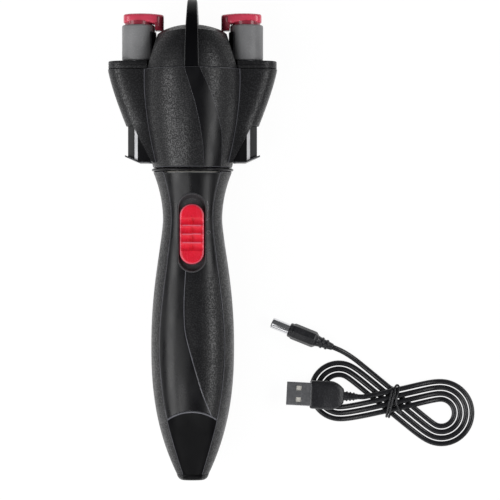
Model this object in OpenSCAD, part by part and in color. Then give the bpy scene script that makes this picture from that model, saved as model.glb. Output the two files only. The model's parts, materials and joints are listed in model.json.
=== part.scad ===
// Automatic hair braider lying on its back, with its charging lead coiled beside it.
// X points right, Y runs along the handle towards the head, and Z points up, out of the switch side.
// The origin is under the middle of the braider, on the surface that it lies on.

/* [Handle] */
// Length of the handle, from its tip to the joint with the head
handle_l = 156; // [148:1:164]
// Diameter of the collar under the head
collar_d = 40.9; // [40:0.1:42]
// Width of the waist where the thumb lies
waist_w = 29.6; // [29:0.1:32]
// Distance from the head joint down to the waist
waist_drop = 25.75; // [24:0.25:27]
// Width of the palm swell
palm_w = 41.5; // [40:0.1:43]
// Distance from the tip up to the palm swell
palm_rise = 67.75; // [64:0.25:70]
// Width of the handle at its tip
tip_w = 13.2; // [12.5:0.1:15]
// Distance of the front face above the long axis at the waist
waist_front = 15.8; // [15.6:0.1:17]
// Distance of the front face above the long axis at the palm
palm_front = 18.4; // [18:0.1:20]
// Depth of the back below the long axis at the waist
waist_back = 15.4; // [15:0.1:17]
// Depth of the back at the palm, before the resting flat is taken off
palm_back = 26.9; // [26.4:0.1:28]
// Depth of the back below the long axis at the tip
tip_back = 12.6; // [12.2:0.1:14]
// Wall of the handle shells
handle_wall = 2.2; // [1.8:0.1:2.4]
// Squareness of the handle's section, where 2 is an ellipse
section_power = 2.3; // [2.1:0.05:2.5]
// Distance from the tip up to the thumb scoop at the tail
scoop_rise = 35.5; // [32:0.5:38]
// Drop of the scoop's edge from the middle to the seams
scoop_arc = 4.2; // [3:0.1:6]

/* [Switch] */
// Length of the recess that the slider moves in
slot_l = 37.7; // [37.4:0.1:40]
// Width of that recess
slot_w = 12.6; // [12.4:0.1:13]
// Distance from the head joint down to the middle of the recess
slot_drop = 32.2; // [31:0.1:33]
// Length of the slider
slider_l = 29.8; // [28:0.1:30]
// Width of the slider
slider_w = 11.85; // [11:0.05:12]
// Travel of the slider each way from its middle place
switch_travel = 3; // [2:0.1:3.1]
// Height of the slider's top above the long axis
slider_top = 18.3; // [17.8:0.1:19]
// Wall of the lining round the recess
lining_wall = 0.9; // [0.7:0.1:1.1]

/* [Head] */
// Length of the head, from the joint to the tip of the separator
head_l = 84; // [82:0.5:88]
// Greatest diameter of the round head body
bulb_d = 50.8; // [50:0.1:52]
// Diameter of the head body at the joint
neck_d = 39.4; // [38.8:0.1:40]
// Height of the head body, from the joint to the deck that the clips stand on
bulb_h = 49.5; // [48:0.5:52]
// Wall of the head covers
bulb_wall = 1.8; // [1.5:0.1:2]
// Distance that a pod reaches out past the middle of its clip
pod_reach = 15.35; // [15:0.05:16.5]
// Depth of a pod from front to back
pod_depth = 20; // [19.6:0.1:21]
// Wall of a pod
pod_wall = 1.4; // [1.2:0.1:1.5]
// Height of a pod from its foot, where the lever comes out, to the deck
pod_h = 28.5; // [27:0.5:30]
// Amount that a pod narrows from the deck down to its foot
pod_taper = 9.2; // [8.4:0.1:9.3]
// Thickness of the lids round the clips
lid_t = 3.5; // [3:0.1:4]
// Height of the dome between the clips
dome_h = 21.2; // [20:0.1:22]
// Thickness of the separator at its root
fin_root = 7.6; // [7:0.1:8]
// Thickness of the separator at its tip
fin_tip = 4.8; // [4:0.1:5.4]
// Height by which the glossy band stands off the head covers
band_t = 0.3; // [0.2:0.05:0.5]

/* [Clips] */
// Outer diameter of a clip tube
tube_d = 16.5; // [16:0.1:17]
// Length of the clip tube above the deck gap
tube_l = 17.75; // [17:0.25:18.5]
// Wall of a clip tube
tube_wall = 1.35; // [1.1:0.05:1.6]
// Distance that a red hook lifts when its lever is pressed
hook_lift = 6; // [4:0.5:6.5]
// Thickness of the top of a red hook
hook_t = 5; // [4.4:0.1:5.4]
// Depth of a red hook from front to back
hook_depth = 12; // [10:0.5:13]
// Diameter of the push rod and of the hook's stem
rod_d = 4.4; // [4:0.1:4.8]

/* [Gears] */
// Tooth size of the head's gears, as pitch diameter per tooth
gear_module = 1; // [0.98:0.01:1.04]
// Teeth on the sun gear in the middle
sun_teeth = 40; // [40:2:42]
// Teeth on the gear of each clip
clip_teeth = 14; // [12:2:14]
// Width of the gear teeth
gear_w = 4; // [3:0.5:4.5]
// Diameter of the drive shaft
shaft_d = 6; // [5:0.1:7]

/* [Drive and power] */
// Diameter of the motor
motor_d = 24; // [20:0.5:24.5]
// Length of the motor
motor_l = 31; // [28:0.5:32]
// Diameter of the gearbox
gearbox_d = 24.8; // [22:0.2:25.2]
// Length of the gearbox
gearbox_l = 19; // [16:0.5:20]
// Diameter of the battery cell
cell_d = 16; // [14:0.2:16.4]
// Length of the battery cell
cell_l = 34; // [30:0.5:35]
// Radius of the charging socket's bore
socket_r = 2.8; // [2.6:0.05:2.9]
// Depth of the charging socket's bore
socket_l = 8; // [7:0.1:9]

/* [Charging lead] */
// Diameter of the lead
lead_d = 2.6; // [2.4:0.05:2.6]
// Distance from the tie to the middle of each lobe of the tied figure of eight
hank_c = 26.5; // [26:0.5:28]
// Radius of the middle loop round each lobe
hank_r = 11.6; // [11.4:0.1:12]
// Step from one loop of the lead to the next
hank_step = 3.12; // [3.12:0.02:3.2]
// Middle of the figure of eight, to the right of the origin
hank_x = 100; // [98:0.5:104]
// Middle of the figure of eight, measured along Y
hank_y = -82; // [-86:0.5:-78]
// Turn of the figure of eight on the table
hank_angle = -13; // [-18:1:-8]

/* [Hidden] */
$fn = 64;
fit = 0.05;
gap = 0.3;
seat_gap = 0.1;
play = 0.2;
seam = 0.12;
eps = 0.01;

// Places along the long axis
tail_y = -(handle_l + head_l) / 2;
seam_y = tail_y + handle_l;
waist_y = seam_y - waist_drop;
palm_y = tail_y + palm_rise;
scoop_y = tail_y + scoop_rise;
slot_y = seam_y - slot_drop;
bulb_y0 = seam_y + gap + 0.1;
deck_y = seam_y + bulb_h;
pod_foot_y = deck_y - pod_h;
lever_top_y = pod_foot_y + 9;
fin_top_y = seam_y + head_l;
axis_z = bulb_d / 2 + band_t;
post_x = gear_module * (sun_teeth + clip_teeth) / 2;
collar_r = collar_d / 2;

// ---- General shapes ----

function blend(a, b, t) = a + (b - a) * t;
function ease(t) = (1 - cos(180 * t)) / 2;
function limit(v, lo, hi) = min(hi, max(lo, v));
function signed_pow(v, p) = sign(v) * pow(abs(v), p);
function flat_list(grid) = [for (row = grid) for (p = row) p];
function steps(a, b, n) = [for (i = [0:n]) blend(a, b, i / n)];

// Closed wall between two grids of points of the same size
module slab(outer, inner) {
    rows = len(outer) - 1;
    cols = len(outer[0]) - 1;
    n = (rows + 1) * (cols + 1);
    function o(r, c) = r * (cols + 1) + c;
    function i(r, c) = n + o(r, c);
    faces = concat(
        [for (r = [0:rows - 1]) for (c = [0:cols - 1]) each [
            [o(r, c), o(r, c + 1), o(r + 1, c + 1)], [o(r, c), o(r + 1, c + 1), o(r + 1, c)],
            [i(r, c), i(r + 1, c + 1), i(r, c + 1)], [i(r, c), i(r + 1, c), i(r + 1, c + 1)]]],
        [for (c = [0:cols - 1]) each [
            [o(0, c), i(0, c), i(0, c + 1)], [o(0, c), i(0, c + 1), o(0, c + 1)],
            [o(rows, c), o(rows, c + 1), i(rows, c + 1)], [o(rows, c), i(rows, c + 1), i(rows, c)]]],
        [for (r = [0:rows - 1]) each [
            [o(r, 0), o(r + 1, 0), i(r + 1, 0)], [o(r, 0), i(r + 1, 0), i(r, 0)],
            [o(r, cols), i(r, cols), i(r + 1, cols)], [o(r, cols), i(r + 1, cols), o(r + 1, cols)]]]);
    polyhedron(concat(flat_list(outer), flat_list(inner)), faces, convexity = 6);
}

// Solid skinned over closed rings of points, with flat ends
module skin(rings) {
    m = len(rings[0]);
    last = len(rings) - 1;
    faces = concat(
        [for (r = [0:last - 1]) for (k = [0:m - 1]) let (j = (k + 1) % m) each [
            [r * m + k, r * m + j, (r + 1) * m + j], [r * m + k, (r + 1) * m + j, (r + 1) * m + k]]],
        [for (k = [1:m - 2]) [0, k + 1, k]],
        [for (k = [1:m - 2]) [last * m, last * m + k, last * m + k + 1]]);
    polyhedron(flat_list(rings), faces, convexity = 8);
}

// Stands children on the long axis at y, with their own Z turned along it
module on_axis(y, x = 0, z = 0) {
    translate([x, y, axis_z + z]) rotate([-90, 0, 0]) children();
}

module left_of() {
    mirror([1, 0, 0]) children();
}

module ring(r_out, r_in, h) {
    difference() {
        cylinder(r = r_out, h = h);
        translate([0, 0, -1]) cylinder(r = r_in, h = h + 2);
    }
}

module stadium(length, width) {
    union() {
        square([width, length - width], center = true);
        for (s = [-1, 1]) translate([0, s * (length - width) / 2]) circle(d = width);
    }
}

// ---- Handle form ----

// Value that goes from the collar through the waist and the palm to the tip
function along_handle(y, collar, waist, palm, tip) =
    y >= waist_y ? blend(waist, collar, pow(limit((y - waist_y) / (seam_y - waist_y), 0, 1), 2))
    : y >= palm_y ? blend(waist, palm, ease(pow((waist_y - y) / (waist_y - palm_y), 0.7)))
    : blend(palm, tip, pow(limit((palm_y - y) / (palm_y - tail_y), 0, 1), 2.4));

tip_front = 0.6;
function half_w(y) = along_handle(y, collar_r, waist_w / 2, palm_w / 2, tip_w / 2);
function back(y) = along_handle(y, collar_r, waist_back, palm_back, tip_back);
function full_front(y) = along_handle(y, collar_r, waist_front, palm_front, palm_front * 0.72);
function front(y) = y >= scoop_y ? full_front(y)
    : blend(full_front(scoop_y), tip_front, pow(limit((scoop_y - y) / (scoop_y - tail_y), 0, 1), 0.9));
// The widest line of the section sinks towards the tip
function mid_z(y) = -along_handle(y, 0, 0, 3, (tip_back - tip_front) / 2);
// The section turns from round at the collar to squarer at the waist
function power(y) = blend(section_power, 2, limit((y - waist_y) / (seam_y - 4 - waist_y), 0, 1));
// Share of the half width at which the front panel's seams lie
function seam_share(y) = lookup((y - tail_y) / handle_l,
    [[0, 0.56], [0.22, 0.72], [0.43, 0.79], [0.7, 0.7], [0.85, 0.68], [1, 0.74]]);
function seam_angle(y) = acos(pow(seam_share(y), power(y) / 2));
// The scoop's edge is an arc, so its rows sag by this much at angle a
function scoop_sag(y, a) =
    let (full = scoop_arc * limit((palm_y - y) / 15, 0, 1) * limit((y - shell_end_y) / 20, 0, 1),
        across = min(1, pow(abs(cos(a)), 2 / power(y)) / seam_share(y)))
    full * across * across;

// Point of the handle's surface at angle a round the section, pushed in by inset
function handle_point(y, a, inset) =
    let (p = 2 / power(y),
        high = front(y + scoop_sag(y, a)) - mid_z(y) - inset,
        low = back(y) + mid_z(y) - inset,
        z = mid_z(y) + (sin(a) > 0 ? high : low) * signed_pow(sin(a), p))
    [(half_w(y) - inset) * signed_pow(cos(a), p), y, max(inset, axis_z + z)];

// Angle that half of the seam takes up, and the angle at share t of the way across the front
function seam_step(y) = seam / half_w(y) * 180 / PI;
function front_angle(y, t) = let (a = seam_angle(y) + seam_step(y)) blend(a, 180 - a, t);
function front_point(y, t, inset) =
    let (v = y - scoop_sag(y, front_angle(y, t))) handle_point(v, front_angle(v, t), inset);

// Rows of points between the seams, over the front and round the back
front_cols = 12;
back_cols = 28;
function front_grid(levels, inset) =
    [for (y = levels) [for (i = [0:front_cols]) front_point(y, i / front_cols, inset)]];
function back_grid(levels, inset) =
    [for (y = levels) let (a0 = 180 - seam_angle(y) + seam_step(y))
        [for (i = [0:back_cols]) handle_point(y, blend(a0, 540 - a0, i / back_cols), inset)]];

shell_top_y = seam_y - 1.9;
shell_end_y = tail_y + 3;
rear_levels = concat(steps(shell_top_y, waist_y, 5), steps(waist_y - 5, palm_y, 8),
    steps(palm_y - 7, scoop_y, 3), steps(scoop_y - 6, shell_end_y, 4));
panel_levels = concat(steps(shell_top_y - 0.6, waist_y, 5), steps(waist_y - 5, palm_y, 8),
    steps(palm_y - 7, scoop_y + 0.1, 3));
scoop_levels = concat([scoop_y - 0.1], steps(scoop_y - 6, shell_end_y, 4));

module handle_rear_shell() {
    color([0.09, 0.09, 0.1])
        slab(back_grid(rear_levels, 0), back_grid(rear_levels, handle_wall));
}

module handle_front_panel() {
    color([0.04, 0.04, 0.045])
        difference() {
            slab(front_grid(panel_levels, 0), front_grid(panel_levels, handle_wall));
            translate([0, slot_y, axis_z]) linear_extrude(40)
                stadium(slot_l + 2 * lining_wall + 2 * fit, slot_w + 2 * lining_wall + 2 * fit);
        }
}

module tail_scoop() {
    color([0.04, 0.04, 0.045])
        slab(front_grid(scoop_levels, 0), front_grid(scoop_levels, handle_wall));
}

// Rounded plug that closes the tip and guides the charging plug in
socket_z = mid_z(tail_y);
// How far along the nose each of its rings lies, and its size there
nose = [[0, 1], [0.45, 0.95], [0.8, 0.85], [1, 0.72]];
module tail_cap() {
    color([0.05, 0.05, 0.055])
        difference() {
            skin([for (n = nose) let (y = blend(shell_end_y - seam, tail_y, n[0]))
                [for (i = [0:23]) let (p = handle_point(shell_end_y, -15 * i, 0))
                    [p[0] * n[1], y, axis_z + socket_z + (p[2] - axis_z - socket_z) * n[1]]]]);
            on_axis(tail_y - 1, 0, socket_z) cylinder(r = socket_r + 0.4, h = 10);
        }
}

collar_t = 1.7;
module collar_ring() {
    bore = spindle_r + 0.4;
    color([0.05, 0.05, 0.055])
        on_axis(seam_y - collar_t) rotate_extrude()
            polygon([[bore, 0], [collar_r - 1.2, 0], [collar_r - 0.1, 0.5], [collar_r, 0.9],
                [collar_r - 0.25, 1.4], [collar_r - 0.9, collar_t], [bore, collar_t]]);
}

// ---- Switch ----

lining_floor = 13.2;
lining_base = 12;
stem_w = 3;
stem_l = 4;
slider_rest = -0.7;

module switch_lining() {
    color([0.16, 0.16, 0.17])
        intersection() {
            translate([0, slot_y, axis_z + lining_base]) difference() {
                linear_extrude(9) stadium(slot_l + 2 * lining_wall, slot_w + 2 * lining_wall);
                translate([0, 0, lining_floor - lining_base]) linear_extrude(9) stadium(slot_l, slot_w);
                translate([-stem_w / 2 - gap, slider_rest - stem_l / 2 - switch_travel - gap, -1])
                    cube([stem_w + 2 * gap, stem_l + 2 * switch_travel + 2 * gap, 9]);
            }
            skin([for (y = steps(slot_y + slot_l * 0.56, slot_y - slot_l * 0.56, 8))
                [for (i = [0:31]) handle_point(y, -11.25 * i, -0.15)]]);
        }
}

module switch_slider() {
    top_h = slider_top - lining_floor - play;
    rim = 0.7;
    color([0.85, 0.07, 0.14])
        translate([0, slot_y + slider_rest, axis_z + lining_floor + play]) difference() {
            union() {
                linear_extrude(top_h - rim) stadium(slider_l, slider_w);
                translate([0, 0, top_h - rim]) linear_extrude(rim)
                    stadium(slider_l - 2 * rim, slider_w - 2 * rim);
                translate([-stem_w / 2, -stem_l / 2, -4]) cube([stem_w, stem_l, 4.5]);
            }
            for (k = [-1.5:1:1.5])
                translate([-20, k * slider_l / 7, top_h + 1.3]) rotate([0, 90, 0])
                    cylinder(r = 2.3, h = 40, $fn = 40);
        }
}

module switch_body() {
    h = lining_base - 6.1;
    color([0.5, 0.5, 0.52])
        translate([0, slot_y, axis_z + 6]) difference() {
            translate([-4.5, -10, 0]) cube([9, 20, h]);
            translate([-stem_w / 2 - gap, slider_rest - stem_l / 2 - switch_travel - gap, 2.9])
                cube([stem_w + 2 * gap, stem_l + 2 * switch_travel + 2 * gap, h]);
        }
}

// ---- Drive ----

spindle_r = 11;
spindle_l = 14.5;
spindle_wall = 2;
bushing_l = 10;
ring_t = 1.2;
shaft_r = shaft_d / 2;

module neck_bushing() {
    r_in = spindle_r + fit;
    y0 = seam_y - collar_t;
    color([0.75, 0.74, 0.7])
        on_axis(y0 - bushing_l) difference() {
            union() {
                cylinder(r = 13, h = bushing_l);
                translate([0, 0, bushing_l - 1.5]) cylinder(r = 16.5, h = 1.5);
            }
            translate([0, 0, -1]) cylinder(r = r_in, h = bushing_l + 2);
        }
}

// Hollow spindle that carries the head and turns in the bushing
module neck_spindle() {
    flange_r = bulb_r(bulb_y0) - bulb_wall - 0.1;
    color([0.62, 0.62, 0.65])
        difference() {
            union() {
                on_axis(bulb_y0) cylinder(r = flange_r, h = 2);
                on_axis(seam_y - spindle_l) cylinder(r = spindle_r, h = spindle_l + 1);
            }
            on_axis(seam_y - spindle_l + spindle_wall) cylinder(r = spindle_r - spindle_wall, h = 40);
            on_axis(seam_y - spindle_l - 1) cylinder(r = shaft_r + fit, h = 40);
        }
}

module retaining_ring() {
    y0 = seam_y - collar_t - bushing_l - 0.1 - ring_t;
    color([0.7, 0.7, 0.72]) on_axis(y0) ring(lining_base - play, spindle_r, ring_t);
}

gearbox_drop = 27;
shaft_run_in = 8;
gearbox_y = waist_y - gearbox_drop;
motor_y = gearbox_y - gearbox_l;
nose_l = 4;
shaft_end_y = gearbox_y - shaft_run_in;

module gearbox() {
    color([0.8, 0.8, 0.78])
        difference() {
            union() {
                on_axis(gearbox_y - gearbox_l) cylinder(d = gearbox_d, h = gearbox_l);
                on_axis(gearbox_y - eps) cylinder(r = shaft_r + 2.5, h = nose_l);
            }
            on_axis(shaft_end_y - 0.1) cylinder(r = shaft_r + fit, h = 40);
        }
}

module motor() {
    color([0.6, 0.61, 0.63])
        union() {
            on_axis(motor_y - motor_l) cylinder(d = motor_d, h = motor_l);
            on_axis(motor_y - motor_l - 1.8) cylinder(d = motor_d * 0.4, h = 2);
            for (s = [-1, 1])
                translate([s * motor_d * 0.33 - 1, motor_y - motor_l - 3, axis_z - 0.4]) cube([2, 3.2, 0.8]);
        }
}

// Bulkhead across the inside of the handle, with a round seat
rib_gap = 0.2;
module bulkhead(y, t, r, z = 0, top = 100) {
    difference() {
        intersection() {
            skin([for (v = [y + t, y])
                [for (i = [0:31]) handle_point(v, -11.25 * i, handle_wall + rib_gap)]]);
            translate([-50, y - 1, 0]) cube([100, t + 2, axis_z + top]);
        }
        on_axis(y - 1, 0, z) cylinder(r = r, h = t + 2);
    }
}

module gearbox_bracket() {
    color([0.1, 0.1, 0.11]) bulkhead(gearbox_y - 6, 3, gearbox_d / 2 + fit);
}

module motor_bracket() {
    color([0.1, 0.1, 0.11]) bulkhead(motor_y - motor_l + 5, 3, motor_d / 2 + fit);
}

cell_z = -6;
cell_y = motor_y - motor_l - 4;
board_z = cell_z + cell_d / 2 + 0.2;
board_t = 1.6;

module battery_cell() {
    color([0.2, 0.45, 0.35])
        union() {
            on_axis(cell_y - cell_l, 0, cell_z) cylinder(d = cell_d, h = cell_l - 1.2);
            on_axis(cell_y - 1.5, 0, cell_z) cylinder(r = 2.5, h = 1.5);
        }
}

module battery_holder() {
    rib = 2.5;
    y_low = cell_y - cell_l * 0.82;
    color([0.12, 0.12, 0.13])
        union() {
            bulkhead(cell_y - 6, rib, cell_d / 2 + fit, cell_z, board_z);
            bulkhead(y_low, rib, cell_d / 2 + fit, cell_z, board_z);
            for (s = [-1, 1])
                translate([s * (cell_d / 2 + 1.2) - 0.7, y_low + rib / 2, axis_z + cell_z - 1])
                    cube([1.4, cell_y - 6 - y_low, 3]);
        }
}

module circuit_board() {
    y_low = cell_y - cell_l * 0.82;
    l = cell_y - 2 - y_low;
    color([0.05, 0.3, 0.15])
        translate([0, y_low, axis_z + board_z]) union() {
            translate([-8.5, 0, 0.05]) cube([17, l, board_t]);
            translate([-5, l * 0.25, board_t]) cube([6, 6, 1.4]);
            translate([-4, l * 0.6, board_t]) cube([5, 4, 1.2]);
            translate([3.5, l * 0.45, board_t]) cube([3, 3, 2]);
            translate([5, l * 0.8, board_t]) cylinder(d = 4, h = 5);
        }
}

socket_wall = 1.5;
module charging_socket() {
    color([0.15, 0.15, 0.16])
        difference() {
            on_axis(shell_end_y, 0, socket_z)
                cylinder(r = socket_r + socket_wall, h = socket_l + socket_wall);
            on_axis(shell_end_y - 1, 0, socket_z) cylinder(r = socket_r, h = socket_l + 1);
        }
}

// ---- Head body ----

bulb_wide_y = seam_y + bulb_h - 6.5;
function bulb_r(y) = y > bulb_wide_y
    ? bulb_d / 2 - 0.2 * pow((y - bulb_wide_y) / 6.5, 2)
    : bulb_d / 2 - (bulb_d - neck_d) / 2 * pow((bulb_wide_y - y) / (bulb_wide_y - seam_y - 0.4), 1.8);
bulb_levels = concat(steps(bulb_y0, pod_foot_y, 7), steps(pod_foot_y + pod_h / 8, deck_y - seam, 7));
window_y = lever_top_y - gap;
window_z = pod_depth / 2 - pod_wall + 0.1;

module bulb_shell() {
    difference() {
        on_axis(0) rotate_extrude() polygon(concat(
            [for (y = bulb_levels) [bulb_r(y), y]],
            [for (i = [len(bulb_levels) - 1:-1:0]) let (y = bulb_levels[i]) [bulb_r(y) - bulb_wall, y]]));
        translate([-60, window_y, axis_z - window_z]) cube([120, 40, 2 * window_z]);
    }
}

module head_front_cover() {
    color([0.1, 0.1, 0.11])
        intersection() {
            bulb_shell();
            translate([-60, seam_y, axis_z + seam / 2]) cube([120, 80, 60]);
        }
}

module head_rear_cover() {
    color([0.1, 0.1, 0.11])
        intersection() {
            bulb_shell();
            translate([-60, seam_y, axis_z - seam / 2 - 60]) cube([120, 80, 60]);
        }
}

// Glossy band that runs down from the separator and sweeps to one side
band_left = [[0, 5.95], [0.23, 5.5], [0.43, 4], [0.65, 1.55], [0.85, -1.45], [1, -3.8]];
band_right = [[0, 14.5], [0.13, 14.8], [0.32, 15], [0.43, 14], [0.61, 11.85], [0.8, 8.55], [1, 3.8]];
module front_band() {
    levels = steps(bulb_y0 + 0.2, deck_y - seam, 11);
    function row(y, out) =
        let (u = (y - bulb_y0) / (deck_y - bulb_y0), k = bulb_d / 50.8,
            x0 = lookup(u, band_left) * k, x1 = lookup(u, band_right) * k)
        [for (i = [0:5]) let (x = blend(x1, x0, i / 5), r = bulb_r(y) + out)
            [x, y, axis_z + sqrt(r * r - x * x)]];
    color([0.03, 0.03, 0.035])
        slab([for (i = [11:-1:0]) row(levels[i], band_t)], [for (i = [11:-1:0]) row(levels[i], 0.06)]);
}

module rear_band() {
    on_axis(0) rotate([0, 0, 180]) rotate([90, 0, 0]) translate([0, 0, -axis_z]) front_band();
}

// ---- Pods ----

pod_corner = 12;
pod_power = 2.6;
foot_y = bulb_y0 + 2.2;
foot_x = bulb_r(foot_y) - 0.3;
mouth_x = post_x + 2.6;
function pod_w(y) = post_x + pod_reach - pod_taper * pow(limit((deck_y - y) / pod_h, 0, 1), 1.25);

// Height above the middle plane of the pod's face at x, for a wall set in from the face and the end
function pod_z(x, y, inset, end_inset) =
    let (cx = pod_w(y) - pod_corner, a = pod_corner - end_inset, b = pod_depth / 2 - inset,
        t = limit((x - cx) / a, 0, 1))
    b * pow(1 - pow(t, pod_power), 1 / pod_power);
// Reach of the pod's inner wall at height z above the middle plane
function pod_reach_at(y, z) =
    let (a = pod_corner - pod_wall, b = pod_depth / 2 - pod_wall)
    pod_w(y) - pod_corner + a * pow(1 - pow(z / b, pod_power), 1 / pod_power);
function pod_root(y, inset) = sqrt(pow(bulb_r(y) + seat_gap, 2) - pow(pod_depth / 2 - inset, 2));

// The end wall thins to a lip at the mouth, where the lever slides in
pod_lip = 0.65;
lip_l = 2.5;
function end_wall(y) = blend(pod_lip, pod_wall, limit((y - pod_foot_y) / lip_l, 0, 1));

function pod_row(y, inset, end_inset) =
    let (x0 = pod_root(y, inset), xm = mouth_x + pod_w(y) - pod_w(pod_foot_y),
        cx = pod_w(y) - pod_corner, a = pod_corner - end_inset, b = pod_depth / 2 - inset,
        face = [for (i = [0:4]) let (x = blend(x0, xm, i / 4)) [x, pod_z(x, y, inset, end_inset)]],
        u0 = acos(pow((xm - cx) / a, pod_power / 2)),
        end = [for (i = [1:7]) let (u = u0 * (1 - i / 7))
            [cx + a * pow(cos(u), 2 / pod_power), b * pow(sin(u), 2 / pod_power)]],
        half = concat(face, end))
    concat([for (p = half) [p[0], y, axis_z + p[1]]],
        [for (i = [len(half) - 2:-1:0]) [half[i][0], y, axis_z - half[i][1]]]);

module right_pod() {
    levels = concat(steps(deck_y - 0.4, pod_foot_y + lip_l, 7), steps(pod_foot_y, foot_y, 4));
    color([0.1, 0.1, 0.11])
        difference() {
            slab([for (y = levels) pod_row(y, 0, 0)], [for (y = levels) pod_row(y, pod_wall, end_wall(y))]);
            linear_extrude(2 * axis_z) polygon([[mouth_x, pod_foot_y], [foot_x, foot_y],
                [foot_x, foot_y - 5], [post_x + 20, foot_y - 5], [post_x + 20, pod_foot_y]]);
        }
}

module left_pod() {
    left_of() right_pod();
}

lid_y = deck_y + 0.4;
recess_r = tube_d / 2 + 0.75;
module right_lid() {
    w = pod_w(deck_y) - 0.3;
    d = pod_depth / 2 - 0.15;
    cx = w - pod_corner;
    face = [for (i = [-8:8]) let (u = i * 90 / 8)
        [cx + pod_corner * pow(cos(u), 2 / pod_power), d * signed_pow(sin(u), 2 / pod_power)]];
    color([0.12, 0.12, 0.13])
        on_axis(lid_y) difference() {
            union() {
                linear_extrude(lid_t) polygon(concat([[dome_w + 0.25, -d]], face, [[dome_w + 0.25, d]]));
                translate([post_x, 0, 0]) cylinder(r = recess_r - 0.1, h = lid_t);
            }
            translate([post_x, 0, -1]) cylinder(r = clip_spindle_r + fit, h = lid_t + 2);
        }
}

module left_lid() {
    left_of() right_lid();
}

// ---- Dome and separator ----

dome_y = deck_y + 0.1;
dome_w = post_x - 4.8;
dome_top_w = dome_w - 7.4;
fin_reach = bulb_d / 2 + band_t - 0.1;
fin_seat = 5;

// Half of an arch in the plane across the clips
function arch(reach, h, p) =
    [for (i = [-12:12]) let (a = i * 7.5)
        [reach * signed_pow(sin(a), 2 / p), h * pow(cos(a), 2 / p)]];

module fin_plate(reach, h) {
    translate([-10, dome_y, axis_z]) rotate([0, 0, 90]) rotate([90, 0, 0])
        linear_extrude(20) polygon([for (p = arch(reach, h, 2.2)) [p[1], p[0]]]);
}

module separator_fin() {
    h = fin_top_y - dome_y;
    r = fin_root / 2;
    t = fin_tip / 2;
    color([0.03, 0.03, 0.035])
        intersection() {
            difference() {
                fin_plate(fin_reach, h + 0.6);
                translate([0, -eps, 0]) fin_plate(fin_reach - fin_seat, dome_h - 5);
            }
            linear_extrude(2 * axis_z + 1) polygon([[-r, dome_y], [r, dome_y],
                [blend(r, t, 0.58), dome_y + h * 0.64], [blend(r, t, 0.88), dome_y + h * 0.88],
                [t, fin_top_y], [-t, fin_top_y],
                [-blend(r, t, 0.88), dome_y + h * 0.88], [-blend(r, t, 0.58), dome_y + h * 0.64]]);
        }
}

module top_dome() {
    r = bulb_r(deck_y) - 0.1;
    crown = [for (i = [-6:6]) let (u = i / 6)
        [dome_top_w * u, dome_y + dome_h - 2.4 * u * u]];
    color([0.09, 0.09, 0.1])
        difference() {
            intersection() {
                on_axis(dome_y) rotate_extrude() polygon([[0, 0], [r, 0], [r - 0.5, dome_h * 0.2],
                    [r - 1.6, dome_h * 0.42], [r - 3.3, dome_h * 0.62], [r - 5.2, dome_h * 0.76],
                    [r - 7.2, dome_h - 4], [r - 8.6, dome_h - 2.6], [r - 10.8, dome_h + 0.2],
                    [0, dome_h + 0.2]]);
                linear_extrude(2 * axis_z) polygon(concat(
                    [[-dome_w + 5.1, dome_y + dome_h - 4.2], [-dome_w, dome_y]],
                    [[dome_w, dome_y], [dome_w - 5.1, dome_y + dome_h - 4.2]],
                    [for (i = [12:-1:0]) crown[i]]));
            }
            separator_fin();
            for (s = [-1, 1]) {
                on_axis(dome_y - 1, s * post_x) cylinder(r = recess_r, h = 60);
                on_axis(dome_y + dome_h - 4.4, s * post_x) cylinder(r = hook_inner + 0.5, h = 60);
            }
            on_axis(dome_y - 1) cylinder(r = shaft_r + fit, h = 5);
        }
}

// ---- Gears ----

pressure = 20;
backlash = 0.16;
gear_y = deck_y - 6;
function involute_angle(a) = tan(a) * 57.2958 - a;
function tooth_half(r, teeth) =
    let (rp = gear_module * teeth / 2, rb = rp * cos(pressure))
    90 / teeth - backlash / rp * 28.65 + involute_angle(pressure) - involute_angle(acos(min(1, rb / r)));

module spur_gear(teeth) {
    rp = gear_module * teeth / 2;
    rb = rp * cos(pressure);
    tip = rp + 0.9 * gear_module;
    root = rp - 1.2 * gear_module;
    radii = [for (i = [0:4]) blend(max(rb, root), tip, i / 4)];
    side = concat([[root, tooth_half(max(rb, root), teeth)]], [for (r = radii) [r, tooth_half(r, teeth)]]);
    polygon([for (k = [0:teeth - 1]) each concat(
        [for (p = side) let (a = 360 * k / teeth - p[1]) p[0] * [cos(a), sin(a)]],
        [for (i = [len(side) - 1:-1:0]) let (p = side[i], a = 360 * k / teeth + p[1])
            p[0] * [cos(a), sin(a)]])]);
}

module sun_gear() {
    color([0.85, 0.83, 0.75])
        on_axis(gear_y) difference() {
            union() {
                linear_extrude(gear_w) spur_gear(sun_teeth);
                cylinder(r = shaft_r + 3, h = gear_w + 1);
            }
            translate([0, 0, -1]) cylinder(r = shaft_r, h = gear_w + 3);
            for (k = [0:5]) rotate(60 * k) translate([(shaft_r + sun_teeth * gear_module / 2) * 0.53, 0, -1])
                cylinder(r = 3.2, h = gear_w + 2);
        }
}

module drive_shaft() {
    color([0.7, 0.71, 0.73])
        on_axis(shaft_end_y) cylinder(r = shaft_r, h = dome_y + 3.7 - shaft_end_y);
}

plate_y = deck_y - 10.4;
plate_t = 2.2;
module gear_plate() {
    hz = pod_depth / 2 - pod_wall - 2.4;
    reach = pod_reach_at(plate_y, hz) - gap;
    color([0.75, 0.76, 0.78])
        on_axis(plate_y) difference() {
            union() {
                cylinder(r = bulb_r(plate_y) - bulb_wall - 0.15, h = plate_t);
                translate([-reach, -hz, 0]) cube([2 * reach, 2 * hz, plate_t]);
            }
            translate([0, 0, -1]) cylinder(r = shaft_r + fit, h = plate_t + 2);
            for (s = [-1, 1])
                translate([s * post_x, 0, -1]) cylinder(r = journal_r + fit, h = plate_t + 2);
        }
}

// ---- Clips ----

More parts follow.
